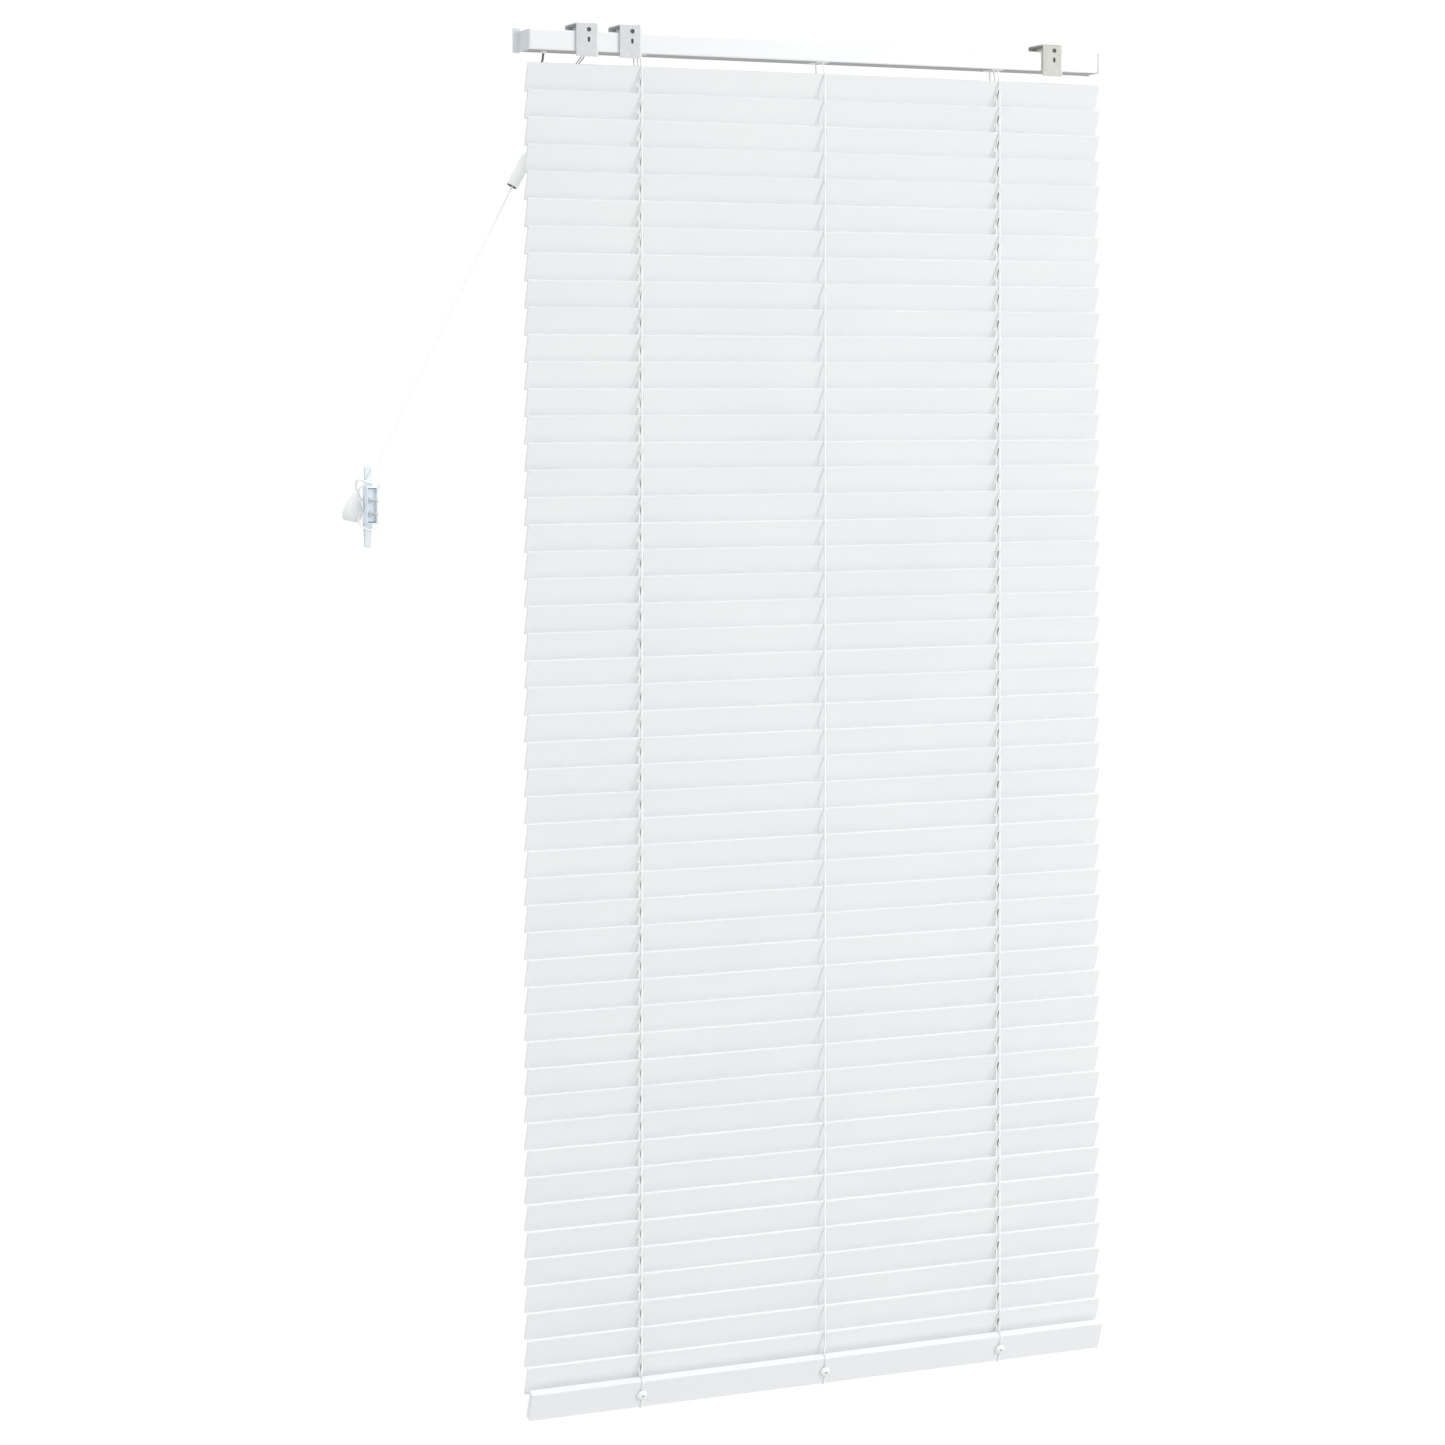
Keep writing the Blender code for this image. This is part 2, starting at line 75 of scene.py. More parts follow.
SLATS = sorted(name for name in frame["nodes"] if name.startswith("slat_"))
TILT = math.radians(-69.0)            # how far the slats are turned from level at rest

# Slats and ladders, as in the CAD
HALF_SLAT = 17.5
PIVOT_RISE = 11.8
HALF_THICKNESS = 1.5
LADDERS = (-235.0, 0.0, 235.0)
LIFTED = (-235.0, 235.0)
STRING = 2.0
STRING_GAP = 2.4
RUNG = 0.5

# Headrail and brackets, as in the CAD
RAIL_HALF = 374.0
RAIL_Y = (3.0, 39.0)
RAIL_Z = (-33.0, -9.3)
SHEET = 1.0
LIP = 4.5
CAP = 1.6
BRACKET_LEFT_EDGES = (-317.0, -263.0, 294.5)
BRACKET_FLAT = 25.0
BRACKET_ROLL = 2.8
BRACKET_HEIGHT = 38.8
BRACKET_REACH = 38.5
PLATE = 1.5
ROD = (21.0, -20.0)                   # Y and Z of the tilt rod

# Camera
CAMERA_PLACE = (-1.643, -3.556, -0.427)
CAMERA_YAW = -23.0
CAMERA_LENS = 81.72
CAMERA_SHIFT = -0.229

# Light: the world's strength, and watts for the lamps
WORLD_STRENGTH = 1.25
KEY_POWER = 45.0
FILL_POWER = 13.0
ROOM_POWER = 26.0


def mm(value):
    return value / 1000.0


def point(x, y, z):
    return Vector((x, y, z)) / 1000.0


# ------------------------------------------------------------------ materials

def new_material(name, colour, roughness, metallic=0.0, **more):
    """A Principled material; more holds other constant inputs, by their names."""
    material = bpy.data.materials.new(name)
    material.use_nodes = True
    shader = material.node_tree.nodes["Principled BSDF"]
    shader.inputs["Base Color"].default_value = (*colour, 1.0)
    shader.inputs["Roughness"].default_value = roughness
    shader.inputs["Metallic"].default_value = metallic
    for key, value in more.items():
        shader.inputs[key.replace("_", " ")].default_value = value
    return material


def node(material, kind, **inputs):
    made = material.node_tree.nodes.new(kind)
    for key, value in inputs.items():
        made.inputs[key.replace("_", " ")].default_value = value
    return made


def link(material, source, output, target, entry):
    material.node_tree.links.new(source.outputs[output], target.inputs[entry])


def noise(material, stretch, detail=4.0, source="Object", roughness=0.55):
    """Noise whose size along each axis is set by stretch, in cycles a metre."""
    coordinates = node(material, "ShaderNodeTexCoord")
    mapping = node(material, "ShaderNodeMapping", Scale=stretch)
    texture = node(material, "ShaderNodeTexNoise", Scale=1.0, Detail=detail, Roughness=roughness)
    link(material, coordinates, source, mapping, "Vector")
    link(material, mapping, "Vector", texture, "Vector")
    return texture


def vary_colour(material, texture, low, high, output="Fac"):
    ramp = node(material, "ShaderNodeValToRGB")
    ramp.color_ramp.elements[0].position = 0.3
    ramp.color_ramp.elements[1].position = 0.7
    ramp.color_ramp.elements[0].color = (*low, 1.0)
    ramp.color_ramp.elements[1].color = (*high, 1.0)
    link(material, texture, output, ramp, "Fac")
    link(material, ramp, "Color", material.node_tree.nodes["Principled BSDF"], "Base Color")


def vary_roughness(material, texture, low, high, output="Fac"):
    remap = node(material, "ShaderNodeMapRange", From_Min=0.3, From_Max=0.7, To_Min=low, To_Max=high)
    link(material, texture, output, remap, "Value")
    link(material, remap, "Result", material.node_tree.nodes["Principled BSDF"], "Roughness")


def add_bump(material, texture, depth, strength=0.5, output="Fac"):
    """A bump; depth is in millimetres."""
    bump = node(material, "ShaderNodeBump", Strength=strength, Distance=mm(depth))
    link(material, texture, output, bump, "Height")
    link(material, bump, "Normal", material.node_tree.nodes["Principled BSDF"], "Normal")


def painted_wood(name, low, high):
    """White paint over wood: long faint grain, a slightly wavy gloss."""
    material = new_material(name, high, 0.42, Coat_Weight=0.12, Coat_Roughness=0.3)
    grain = noise(material, (9.0, 260.0, 260.0), detail=6.0, roughness=0.65)
    cloud = noise(material, (6.0, 22.0, 14.0), detail=3.0)
    vary_colour(material, cloud, low, high)
    vary_roughness(material, grain, 0.38, 0.5)
    add_bump(material, grain, 0.06, 0.35)
    return material


def enamel(name, low, high):
    """Stove enamel on sheet steel, with a fine orange peel."""
    material = new_material(name, high, 0.36, Coat_Weight=0.2, Coat_Roughness=0.2)
    peel = noise(material, (620.0, 620.0, 620.0), detail=2.0)
    cloud = noise(material, (8.0, 30.0, 30.0), detail=3.0)
    vary_colour(material, cloud, low, high)
    vary_roughness(material, peel, 0.32, 0.42)
    add_bump(material, peel, 0.03, 0.4)
    return material


def underside_shade_enamel(name, low, high):
    """Rough, faintly streaked grey: painted shade for the headrail's underside, whose white enamel this light alone
    leaves too bright.
    """
    material = new_material(name, high, 0.9, Specular_IOR_Level=0.1)
    streaks = noise(material, (14.0, 500.0, 500.0), detail=4.0)
    vary_colour(material, streaks, low, high)
    vary_roughness(material, streaks, 0.85, 0.97)
    add_bump(material, streaks, 0.02, 0.3)
    return material


def zinc_plate(name, low, high):
    """Zinc plate: soft mottling, and fine rolling marks along X."""
    material = new_material(name, high, 0.5, metallic=0.25)
    mottle = noise(material, (180.0, 180.0, 180.0), detail=5.0)
    rolled = noise(material, (60.0, 1400.0, 1400.0), detail=4.0)
    vary_colour(material, mottle, low, high)
    vary_roughness(material, rolled, 0.42, 0.6)
    add_bump(material, rolled, 0.02, 0.4)
    return material


def moulded(name, low, high, roughness=0.35, **more):
    """Injection-moulded plastic with a fine spark-eroded texture."""
    material = new_material(name, high, roughness, **more)
    grain = noise(material, (420.0, 420.0, 420.0), detail=3.0)
    cloud = noise(material, (60.0, 60.0, 60.0), detail=2.0)
    vary_colour(material, cloud, low, high)
    vary_roughness(material, grain, roughness - 0.05, roughness + 0.08)
    add_bump(material, grain, 0.01, 0.15)
    return material


def braided(name, low, high):
    """Braided polyester. The tubes carry a vector 'braid' that runs round and along them."""
    material = new_material(name, high, 0.75, Sheen_Weight=0.25, Sheen_Roughness=0.5)
    attribute = node(material, "ShaderNodeAttribute")
    attribute.attribute_name = "braid"
    plait = node(material, "ShaderNodeTexVoronoi", Scale=1.6, Randomness=0.25)
    link(material, attribute, "Vector", plait, "Vector")
    # Darker where the plaits meet: painted shade in the braid's creases.
    vary_colour(material, plait, high, low, output="Distance")
    vary_roughness(material, plait, 0.7, 0.85, output="Distance")
    add_bump(material, plait, -0.1, 0.35, output="Distance")
    return material


SLAT_PAINT = painted_wood("slat_paint", (0.845, 0.862, 0.868), (0.868, 0.88, 0.88))
# Bare wood for the routed slot walls, darkened far below its own tone: painted shade in the see-through slots.
BARE_WOOD_AND_SHADE = painted_wood("bare_wood_and_painted_shade", (0.16, 0.155, 0.15), (0.26, 0.255, 0.25))
RAIL_PAINT = painted_wood("rail_paint", (0.845, 0.862, 0.872), (0.868, 0.88, 0.886))
UNDERSIDE_SHADE_ENAMEL = underside_shade_enamel("headrail_underside_painted_shade", (0.46, 0.465, 0.465), (0.52, 0.525, 0.525))
ENAMEL = enamel("headrail_enamel", (0.845, 0.857, 0.862), (0.865, 0.875, 0.878))
ZINC = zinc_plate("bracket_zinc", (0.60, 0.62, 0.625), (0.66, 0.675, 0.68))
# Much lighter zinc for the rolled edge: a painted highlight on the bend.
HIGHLIGHT_ZINC = zinc_plate("bracket_edge_painted_highlight", (0.86, 0.87, 0.87), (0.92, 0.925, 0.925))
# A darker, warmer copy of the bracket zinc: painted shade on the right bracket.
WARM_SHADED_ZINC = zinc_plate("bracket_zinc_warm_painted_shade", (0.50, 0.50, 0.455), (0.57, 0.565, 0.52))
# Near-black sheet: painted shade seen through the bracket holes.
HOLE_SHADE_STEEL = zinc_plate("hole_shade_sheet", (0.10, 0.10, 0.105), (0.15, 0.15, 0.155))
ROD_STEEL = zinc_plate("rod_steel", (0.55, 0.56, 0.57), (0.66, 0.67, 0.67))
HOOK_STEEL = zinc_plate("hook_steel", (0.12, 0.125, 0.13), (0.19, 0.195, 0.2))
WHITE_PLASTIC = moulded("white_plastic", (0.90, 0.905, 0.9), (0.93, 0.935, 0.93), 0.36)
CAP_PLASTIC = moulded("cap_plastic", (0.70, 0.735, 0.775), (0.75, 0.78, 0.815), 0.42)
# A greyer copy of the cap plastic: painted shade, for the right end cap.
SHADED_CAP_PLASTIC = moulded("cap_plastic_painted_shade", (0.40, 0.41, 0.44), (0.46, 0.47, 0.50), 0.42)
# Near-black plastic: painted shade inside the joiner's foot recess.
RECESS_SHADE_PLASTIC = moulded("joiner_recess_painted_shade", (0.16, 0.165, 0.175), (0.20, 0.205, 0.215), 0.6)
CLEAT_PLASTIC = moulded("cleat_plastic", (0.76, 0.84, 0.89), (0.81, 0.88, 0.92), 0.32)
WAND_PLASTIC = moulded("wand_plastic", (0.86, 0.88, 0.89), (0.92, 0.93, 0.935), 0.2, Coat_Weight=0.4)
STRING_BRAID = braided("string_braid", (0.94, 0.945, 0.945), (0.99, 0.99, 0.99))
RUNG_BRAID = braided("rung_braid", (0.80, 0.81, 0.81), (0.88, 0.885, 0.885))
CORD_BRAID = braided("cord_braid", (0.93, 0.935, 0.935), (0.98, 0.98, 0.98))
# A grey copy of the white cord: painted shade on the pair under the headrail.
SHADED_PAIR_BRAID = braided("pair_braid_painted_shade", (0.42, 0.425, 0.43), (0.56, 0.565, 0.57))


# --------------------------------------------------------------------- meshes

def mesh_from(name, work):
    mesh = bpy.data.meshes.new(name)
    work.to_mesh(mesh)
    work.free()
    return mesh


def shade(mesh, angle=40):
    mesh.shade_smooth()
    mesh.set_sharp_from_angle(angle=math.radians(angle))
    return mesh


def piece(name, mesh, material, body, replaces=(), flats=True):
    """Puts a finished mesh in the scene, riding on a body."""
    mesh.materials.clear()
    mesh.materials.append(material)
    obj = bpy.data.objects.new(name, mesh)
    bpy.context.scene.collection.objects.link(obj)
    if flats:
        shade(mesh)
        obj.modifiers.new("even_shading", "WEIGHTED_NORMAL").keep_sharp = True
    if body:
        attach(obj, body)
    if replaces:
        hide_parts(*replaces)
    return obj


def joined(name, meshes):
    """One mesh out of several."""
    work = bmesh.new()
    for mesh in meshes:
        work.from_mesh(mesh)
    return mesh_from(name, work)


def rounded(mesh, width, segments=2, angle=50.0):
    """Bevels the edges that turn by more than an angle; width is in millimetres."""
    work = bmesh.new()
    work.from_mesh(mesh)
    bmesh.ops.remove_doubles(work, verts=work.verts, dist=1e-6)
    bmesh.ops.dissolve_limit(work, angle_limit=math.radians(1), verts=work.verts, edges=work.edges)
    limit = math.radians(angle)
    sharp = [edge for edge in work.edges
             if len(edge.link_faces) == 2 and edge.calc_face_angle(0.0) > limit]
    bmesh.ops.bevel(work, geom=sharp, offset=mm(width), segments=segments, profile=0.5,
                    affect="EDGES", clamp_overlap=True)
    bmesh.ops.recalc_face_normals(work, faces=work.faces)
    return mesh_from(mesh.name, work)


def refined(name, width, segments=2, angle=50.0):
    """A CAD node's shape with its edges rounded."""
    return rounded(frame["nodes"][name].data, width, segments, angle)


def cut(mesh, cutters, operation="DIFFERENCE"):
    """The mesh less each of the cutters, or joined with them."""
    host = bpy.data.objects.new("host", mesh)
    tools = [bpy.data.objects.new("tool", cutter) for cutter in cutters]
    for obj in (host, *tools):
        bpy.context.scene.collection.objects.link(obj)
    for tool in tools:
        modifier = host.modifiers.new("cut", "BOOLEAN")
        modifier.operation = operation
        modifier.solver = "EXACT"
        modifier.object = tool
    bpy.context.view_layer.update()
    result = bpy.data.meshes.new_from_object(host.evaluated_get(bpy.context.evaluated_depsgraph_get()))
    result.name = mesh.name
    for obj in (host, *tools):
        bpy.data.objects.remove(obj)
    return result


def prism(name, outline, low, high, plane):
    """An outline drawn in a plane (XY, XZ or YZ) and extruded from low to high."""
    order = {"XY": (0, 1, 2), "XZ": (0, 2, 1), "YZ": (1, 2, 0)}[plane]
    work = bmesh.new()
    rings = []
    for height in (low, high):
        ring = []
        for a, b in outline:
            place = [0.0, 0.0, 0.0]
            for axis, value in zip(order, (a, b, height)):
                place[axis] = value
            ring.append(work.verts.new(point(*place)))
        rings.append(ring)
    count = len(outline)
    for i in range(count):
        j = (i + 1) % count
        work.faces.new((rings[0][i], rings[0][j], rings[1][j], rings[1][i]))
    work.faces.new(rings[0])
    work.faces.new(rings[1])
    bmesh.ops.recalc_face_normals(work, faces=work.faces)
    return mesh_from(name, work)


def block(name, low, high, radius=0.0):
    """A box between two corners, its edges rounded where a radius is given."""
    outline = [(low[0], low[1]), (high[0], low[1]), (high[0], high[1]), (low[0], high[1])]
    mesh = prism(name, outline, low[2], high[2], "XY")
    return rounded(mesh, radius, 3) if radius else mesh


def rounded_path(corners, radius, steps=4):
    """A flat path whose inner corners are arcs."""
    corners = [Vector(c) for c in corners]
    path = [corners[0]]
    for a, b, c in zip(corners, corners[1:], corners[2:]):
        to_a, to_c = (a - b).normalized(), (c - b).normalized()
        half = to_a.angle(to_c) / 2
        centre = b + (to_a + to_c).normalized() * radius / math.sin(half)
        start = b + to_a * radius / math.tan(half) - centre
        end = b + to_c * radius / math.tan(half) - centre
        path += [centre + start.lerp(end, i / steps).normalized() * radius for i in range(steps + 1)]
    return path + [corners[-1]]


def strip(name, corners, thickness, radius, low, high, plane="YZ"):
    """Bent sheet: the corners lie on its middle line, and it runs from low to high across the plane."""
    path = rounded_path(corners, radius)
    left, right = [], []
    for i, spot in enumerate(path):
        along = (path[min(i + 1, len(path) - 1)] - path[max(i - 1, 0)]).normalized()
        across = Vector((-along.y, along.x)) * thickness / 2
        left.append(spot + across)
        right.append(spot - across)
    return prism(name, left + right[::-1], low, high, plane)


def turned(name, profile, steps, place, axis=(0, 0, 1)):
    """A profile of (radius, height) pairs turned about an axis through a place."""
    work = bmesh.new()
    rings = []
    for radius, height in profile:
        if radius == 0:
            rings.append([work.verts.new(point(0, 0, height))])
            continue
        rings.append([work.verts.new(point(radius * math.cos(math.tau * i / steps),
                                           radius * math.sin(math.tau * i / steps), height))
                      for i in range(steps)])
    for lower, upper in zip(rings, rings[1:]):
        for i in range(steps):
            j = (i + 1) % steps
            corners = [lower[i % len(lower)], lower[j % len(lower)], upper[j % len(upper)], upper[i % len(upper)]]
            corners = list(dict.fromkeys(corners))
            if len(corners) > 2:
                work.faces.new(corners)
    bmesh.ops.recalc_face_normals(work, faces=work.faces)
    turn = Vector((0, 0, 1)).rotation_difference(Vector(axis)).to_matrix().to_4x4()
    bmesh.ops.transform(work, matrix=Matrix.Translation(point(*place)) @ turn, verts=work.verts)
    return mesh_from(name, work)


def pin(name, start, end, radius, steps=20, chamfer=0.0):
    """A round pin between two points."""
    start, end = Vector(start), Vector(end)
    length = (end - start).length
    profile = [(0, 0), (radius - chamfer, 0), (radius, chamfer), (radius, length - chamfer),
               (radius - chamfer, length), (0, length)]
    if not chamfer:
        profile = [(0, 0), (radius, 0), (radius, length), (0, length)]
    return turned(name, profile, steps, start, end - start)


BRAID_LENGTH = 1.1                    # of one plait along a cord, in diameters


def tubes(name, routes, diameter, sides=10):
    """Round cords along routes in millimetres, each with its braid coordinates."""
    work = bmesh.new()
    layer = work.verts.layers.float_vector.new("braid")
    radius = diameter / 2
    for route in routes:
        route = [Vector(p) for p in route]
        normal = None
        travelled = 0.0
        rings = []
        for i, spot in enumerate(route):
            along = (route[min(i + 1, len(route) - 1)] - route[max(i - 1, 0)]).normalized()
            if normal is None:
                normal = along.orthogonal().normalized()
            normal = (normal - along * normal.dot(along)).normalized()
            side = along.cross(normal)
            if i:
                travelled += (spot - route[i - 1]).length
            ring = []
            for k in range(sides):
                angle = math.tau * k / sides
                vert = work.verts.new((spot + (normal * math.cos(angle) + side * math.sin(angle)) * radius) / 1000)
                vert[layer] = (math.cos(angle), math.sin(angle), travelled / (BRAID_LENGTH * diameter))
                ring.append(vert)
            rings.append(ring)
        for lower, upper in zip(rings, rings[1:]):
            for k in range(sides):
                work.faces.new((lower[k], lower[(k + 1) % sides], upper[(k + 1) % sides], upper[k]))
        work.faces.new(rings[0][::-1])
        work.faces.new(rings[-1])
    bmesh.ops.recalc_face_normals(work, faces=work.faces)
    mesh = mesh_from(name, work)
    mesh.shade_smooth()
    return mesh


def smooth_route(stations, spacing):
    """Points along a centripetal curve through the stations."""
    stations = [Vector(s) for s in stations]
    ghost = [2 * stations[0] - stations[1]] + stations + [2 * stations[-1] - stations[-2]]
    path = [stations[0]]
    for i in range(1, len(ghost) - 2):
        a, b, c, d = ghost[i - 1:i + 3]
        count = max(1, round((c - b).length / spacing))
        knots = [0.0]
        for p, q in ((a, b), (b, c), (c, d)):
            knots.append(knots[-1] + math.sqrt((q - p).length))
        for step in range(1, count + 1):
            t = knots[1] + (knots[2] - knots[1]) * step / count
            low = [a.lerp(b, (t - knots[0]) / (knots[1] - knots[0])),
                   b.lerp(c, (t - knots[1]) / (knots[2] - knots[1])),
                   c.lerp(d, (t - knots[2]) / (knots[3] - knots[2]))]
            mid = [low[0].lerp(low[1], (t - knots[0]) / (knots[2] - knots[0])),
                   low[1].lerp(low[2], (t - knots[1]) / (knots[3] - knots[1]))]
            path.append(mid[0].lerp(mid[1], (t - knots[1]) / (knots[2] - knots[1])))
    return path


# ------------------------------------------------------------ camera and stage

def make_camera():
    data = bpy.data.cameras.new("camera")
    data.lens = CAMERA_LENS
    data.shift_y = CAMERA_SHIFT
    data.clip_end = 50.0
    camera = bpy.data.objects.new("camera", data)
    camera.location = CAMERA_PLACE
    camera.rotation_euler = (math.radians(90), 0, math.radians(CAMERA_YAW))
    bpy.context.scene.collection.objects.link(camera)
    bpy.context.scene.camera = camera


def make_floor():
    """A white floor below the blind. It throws back less light than it shows, as a far floor would."""
    work = bmesh.new()
    bmesh.ops.create_grid(work, x_segments=8, y_segments=8, size=9.0)
    mesh = mesh_from("floor", work)
    floor = bpy.data.objects.new("floor", mesh)
    floor.location.z = cad_box[0][2] - 0.22
    bpy.context.scene.collection.objects.link(floor)
    material = new_material("floor", (0.58, 0.58, 0.58), 0.9)
    tree = material.node_tree
    dim = tree.nodes["Principled BSDF"]
    white = node(material, "ShaderNodeEmission", Color=(1.0, 1.0, 1.0, 1.0), Strength=1.02)
    ray = node(material, "ShaderNodeLightPath")
    mix = node(material, "ShaderNodeMixShader")
    link(material, ray, "Is Camera Ray", mix, "Fac")
    tree.links.new(dim.outputs[0], mix.inputs[1])
    tree.links.new(white.outputs[0], mix.inputs[2])
    tree.links.new(mix.outputs[0], tree.nodes["Material Output"].inputs["Surface"])
    mesh.materials.append(material)


def make_world():
    """A soft studio: brightest overhead, dim from below; the backdrop itself is white."""
    world = bpy.data.worlds.new("studio")
    world.use_nodes = True
    bpy.context.scene.world = world
    tree = world.node_tree
    tree.nodes.clear()
    coordinates = tree.nodes.new("ShaderNodeTexCoord")
    split = tree.nodes.new("ShaderNodeSeparateXYZ")
    ramp = tree.nodes.new("ShaderNodeValToRGB")
    remap = tree.nodes.new("ShaderNodeMapRange")
    ray = tree.nodes.new("ShaderNodeLightPath")
    light = tree.nodes.new("ShaderNodeBackground")
    backdrop = tree.nodes.new("ShaderNodeBackground")
    mix = tree.nodes.new("ShaderNodeMixShader")
    output = tree.nodes.new("ShaderNodeOutputWorld")
    remap.inputs["From Min"].default_value = -1.0
    ramp.color_ramp.elements[0].position = 0.42
    ramp.color_ramp.elements[0].color = (0.22, 0.223, 0.227, 1.0)
    ramp.color_ramp.elements[1].position = 0.80
    ramp.color_ramp.elements[1].color = (0.985, 0.99, 0.995, 1.0)
    light.inputs["Strength"].default_value = WORLD_STRENGTH
    backdrop.inputs["Color"].default_value = (1.0, 1.0, 1.0, 1.0)
    backdrop.inputs["Strength"].default_value = 1.02
    links = tree.links
    links.new(coordinates.outputs["Generated"], split.inputs[0])
    links.new(split.outputs["Z"], remap.inputs["Value"])
    links.new(remap.outputs["Result"], ramp.inputs["Fac"])
    links.new(ramp.outputs["Color"], light.inputs["Color"])
    links.new(ray.outputs["Is Camera Ray"], mix.inputs["Fac"])
    links.new(light.outputs[0], mix.inputs[1])
    links.new(backdrop.outputs[0], mix.inputs[2])
    links.new(mix.outputs[0], output.inputs["Surface"])


def area_light(name, place, target, size, power):
    data = bpy.data.lights.new(name, "AREA")
    data.shape = "DISK"
    data.size = size
    data.energy = power
    lamp = bpy.data.objects.new(name, data)
    lamp.location = place
    aim = Vector(target) - Vector(place)
    lamp.rotation_euler = aim.to_track_quat("-Z", "Y").to_euler()
    bpy.context.scene.collection.objects.link(lamp)


def make_lights():
    middle = (0.0, 0.0, -0.8)
    area_light("key", (2.4, -3.6, 0.0), middle, 0.9, KEY_POWER)
    area_light("fill", (-1.6, -4.2, -0.9), middle, 2.4, FILL_POWER)
    area_light("room", (1.2, 3.6, 0.2), middle, 2.0, ROOM_POWER)


# ---------------------------------------------------------------- pull cords

LOCK = (-294.6, 32.4, -26.0)
JOINER_TOP = (-356.3, 51.2, -149.8)
JOINER_BOTTOM = (-377.9, 51.5, -188.2)
TASSEL_TOP = (-570.2, 33.0, -540.5)
TASSEL_FOOT = (-577.4, 33.0, -574.0)
PULL_CORD = 2.2
PAIR_CORD = 1.5
PAIR_GAP = 3.4

# Down from the lock to the joiner, and from the joiner round the cleat to the
# tassel: the same stations as the CAD cord's.
UPPER_STATIONS = [
    LOCK, (-295.4, 34.4, -34.2), (-299.6, 40.8, -42.4), (-305.5, 45.4, -52.0), (-329.9, 48.2, -98.9),
    JOINER_TOP,
]
TAIL_STATIONS = [
    JOINER_BOTTOM, (-436.2, 39.1, -295.8), (-494.5, 26.6, -403.3), (-544.5, 16.0, -495.5),
    (-554.0, 12.8, -512.5), (-562.6, 10.6, -526.0), (-571.8, 12.0, -534.5), (-573.0, 18.5, -542.0),
    (-562.0, 25.6, -555.5), (-551.2, 18.0, -571.0), (-552.4, 9.6, -579.2), (-562.0, 6.0, -583.0),
    (-571.8, 9.6, -579.2), (-572.8, 18.0, -571.0), (-562.0, 28.4, -555.5), (-551.2, 18.0, -541.0),
    (-552.2, 9.0, -531.6), (-562.0, 5.5, -529.6), (-570.8, 8.5, -527.5), (-574.4, 17.0, -527.0),
    (-573.4, 26.0, -531.0), (-571.2, 31.6, -537.5), TASSEL_TOP,
]


def cord(name, stations, spacing, diameter, material, replaces=()):
    path = smooth_route(stations, spacing)
    obj = piece(name, tubes(name, [path], diameter, 12), material, "frame",
                replaces=replaces, flats=False)
    return obj


def make_joiner():
    """A turned sleeve: the two cords go in at its top, one comes out of its foot."""
    top, foot = Vector(JOINER_TOP), Vector(JOINER_BOTTOM)
    axis = top - foot
    length = axis.length
    profile = [(0, 9.0), (5.6, 9.0), (5.9, 0.5), (6.1, 0.0), (6.6, 0.0), (7.0, 0.7), (7.05, 3.0), (7.05, length - 9),
               (6.9, length - 5), (6.2, length - 2), (4.9, length - 0.4), (3.4, length), (2.9, length - 1.5),
               (0, length - 1.5)]
    sleeve = piece("cord_joiner", turned("cord_joiner", profile, 32, foot, axis), WHITE_PLASTIC, "frame")
    sleeve.data.materials.append(RECESS_SHADE_PLASTIC)
    # Faces inside the foot's recess get the near-black plastic: painted shade.
    for face in sleeve.data.polygons:
        from_foot = face.center * 1000 - foot
        along = from_foot.dot(axis) / length
        if 0.1 < along < 9.5 and (from_foot - axis * along / length).length < 6.05:
            face.material_index = 1
    return sleeve


def make_tassel():
    """An acorn, leaning a little, with a hollow foot that hides the knot."""
    top, foot = Vector(TASSEL_TOP), Vector(TASSEL_FOOT)
    axis = top - foot
    length = axis.length
    outline = [(7.9, 0.1), (9.0, 0.7), (10.1, 2.2), (10.9, 4.6), (11.2, 7.8), (11.0, 11.0), (10.4, 14.6), (9.3, 18.8),
               (7.8, 23.2), (6.2, 27.3), (4.7, length - 3.4), (3.3, length - 1.2), (2.2, length)]
    profile = [(0, 7.0), (4.6, 6.6), (6.4, 3.6), (7.0, 0.5), (7.3, 0.1)] + outline + [(1.3, length), (1.2, length - 6), (0, length - 6)]
    return piece("tassel", turned("tassel", profile, 40, foot, axis), WHITE_PLASTIC, "frame")


def make_pull_cords():
    joiner, tassel = make_joiner(), make_tassel()
    inward = (Vector(JOINER_TOP) - Vector(JOINER_BOTTOM)).normalized() * 5
    for side, name in ((-1, "pull_cord_left"), (1, "pull_cord_right")):
        stations = [Vector(s) + Vector((side * PAIR_GAP / 2, 0, 0)) for s in UPPER_STATIONS[:-1]]
        stations.append(Vector(JOINER_TOP) + Vector((side * 1.5, 0, 0)) - inward)
        # The pair is white cord given grey: painted shade.
        cord(name, stations, 4.0, PAIR_CORD, SHADED_PAIR_BRAID)
    start = [Vector(JOINER_BOTTOM) + inward]
    cord("pull_cord_tail", start + TAIL_STATIONS[1:-1] + [Vector(TASSEL_TOP) - Vector((0.6, 0, 3.0))], 2.4,
         PULL_CORD, CORD_BRAID, replaces=("pull_cord",))


make_camera()
make_floor()
make_world()
make_lights()
make_pull_cords()


# --------------------------------------------------------------------- slats

def pivot(joint):
    """Where a slat, or the rail, is pivoted, in millimetres."""
    return Vector(JOINTS[joint]["pos_m"]) * 1000


def at_rest(joint, x, y, z):
    """The rest place of a point given in a level slat's own frame, around its pivot."""
    turned_y = y * math.cos(TILT) - z * math.sin(TILT)
    turned_z = y * math.sin(TILT) + z * math.cos(TILT)
    return pivot(joint) + Vector((x, turned_y, turned_z))


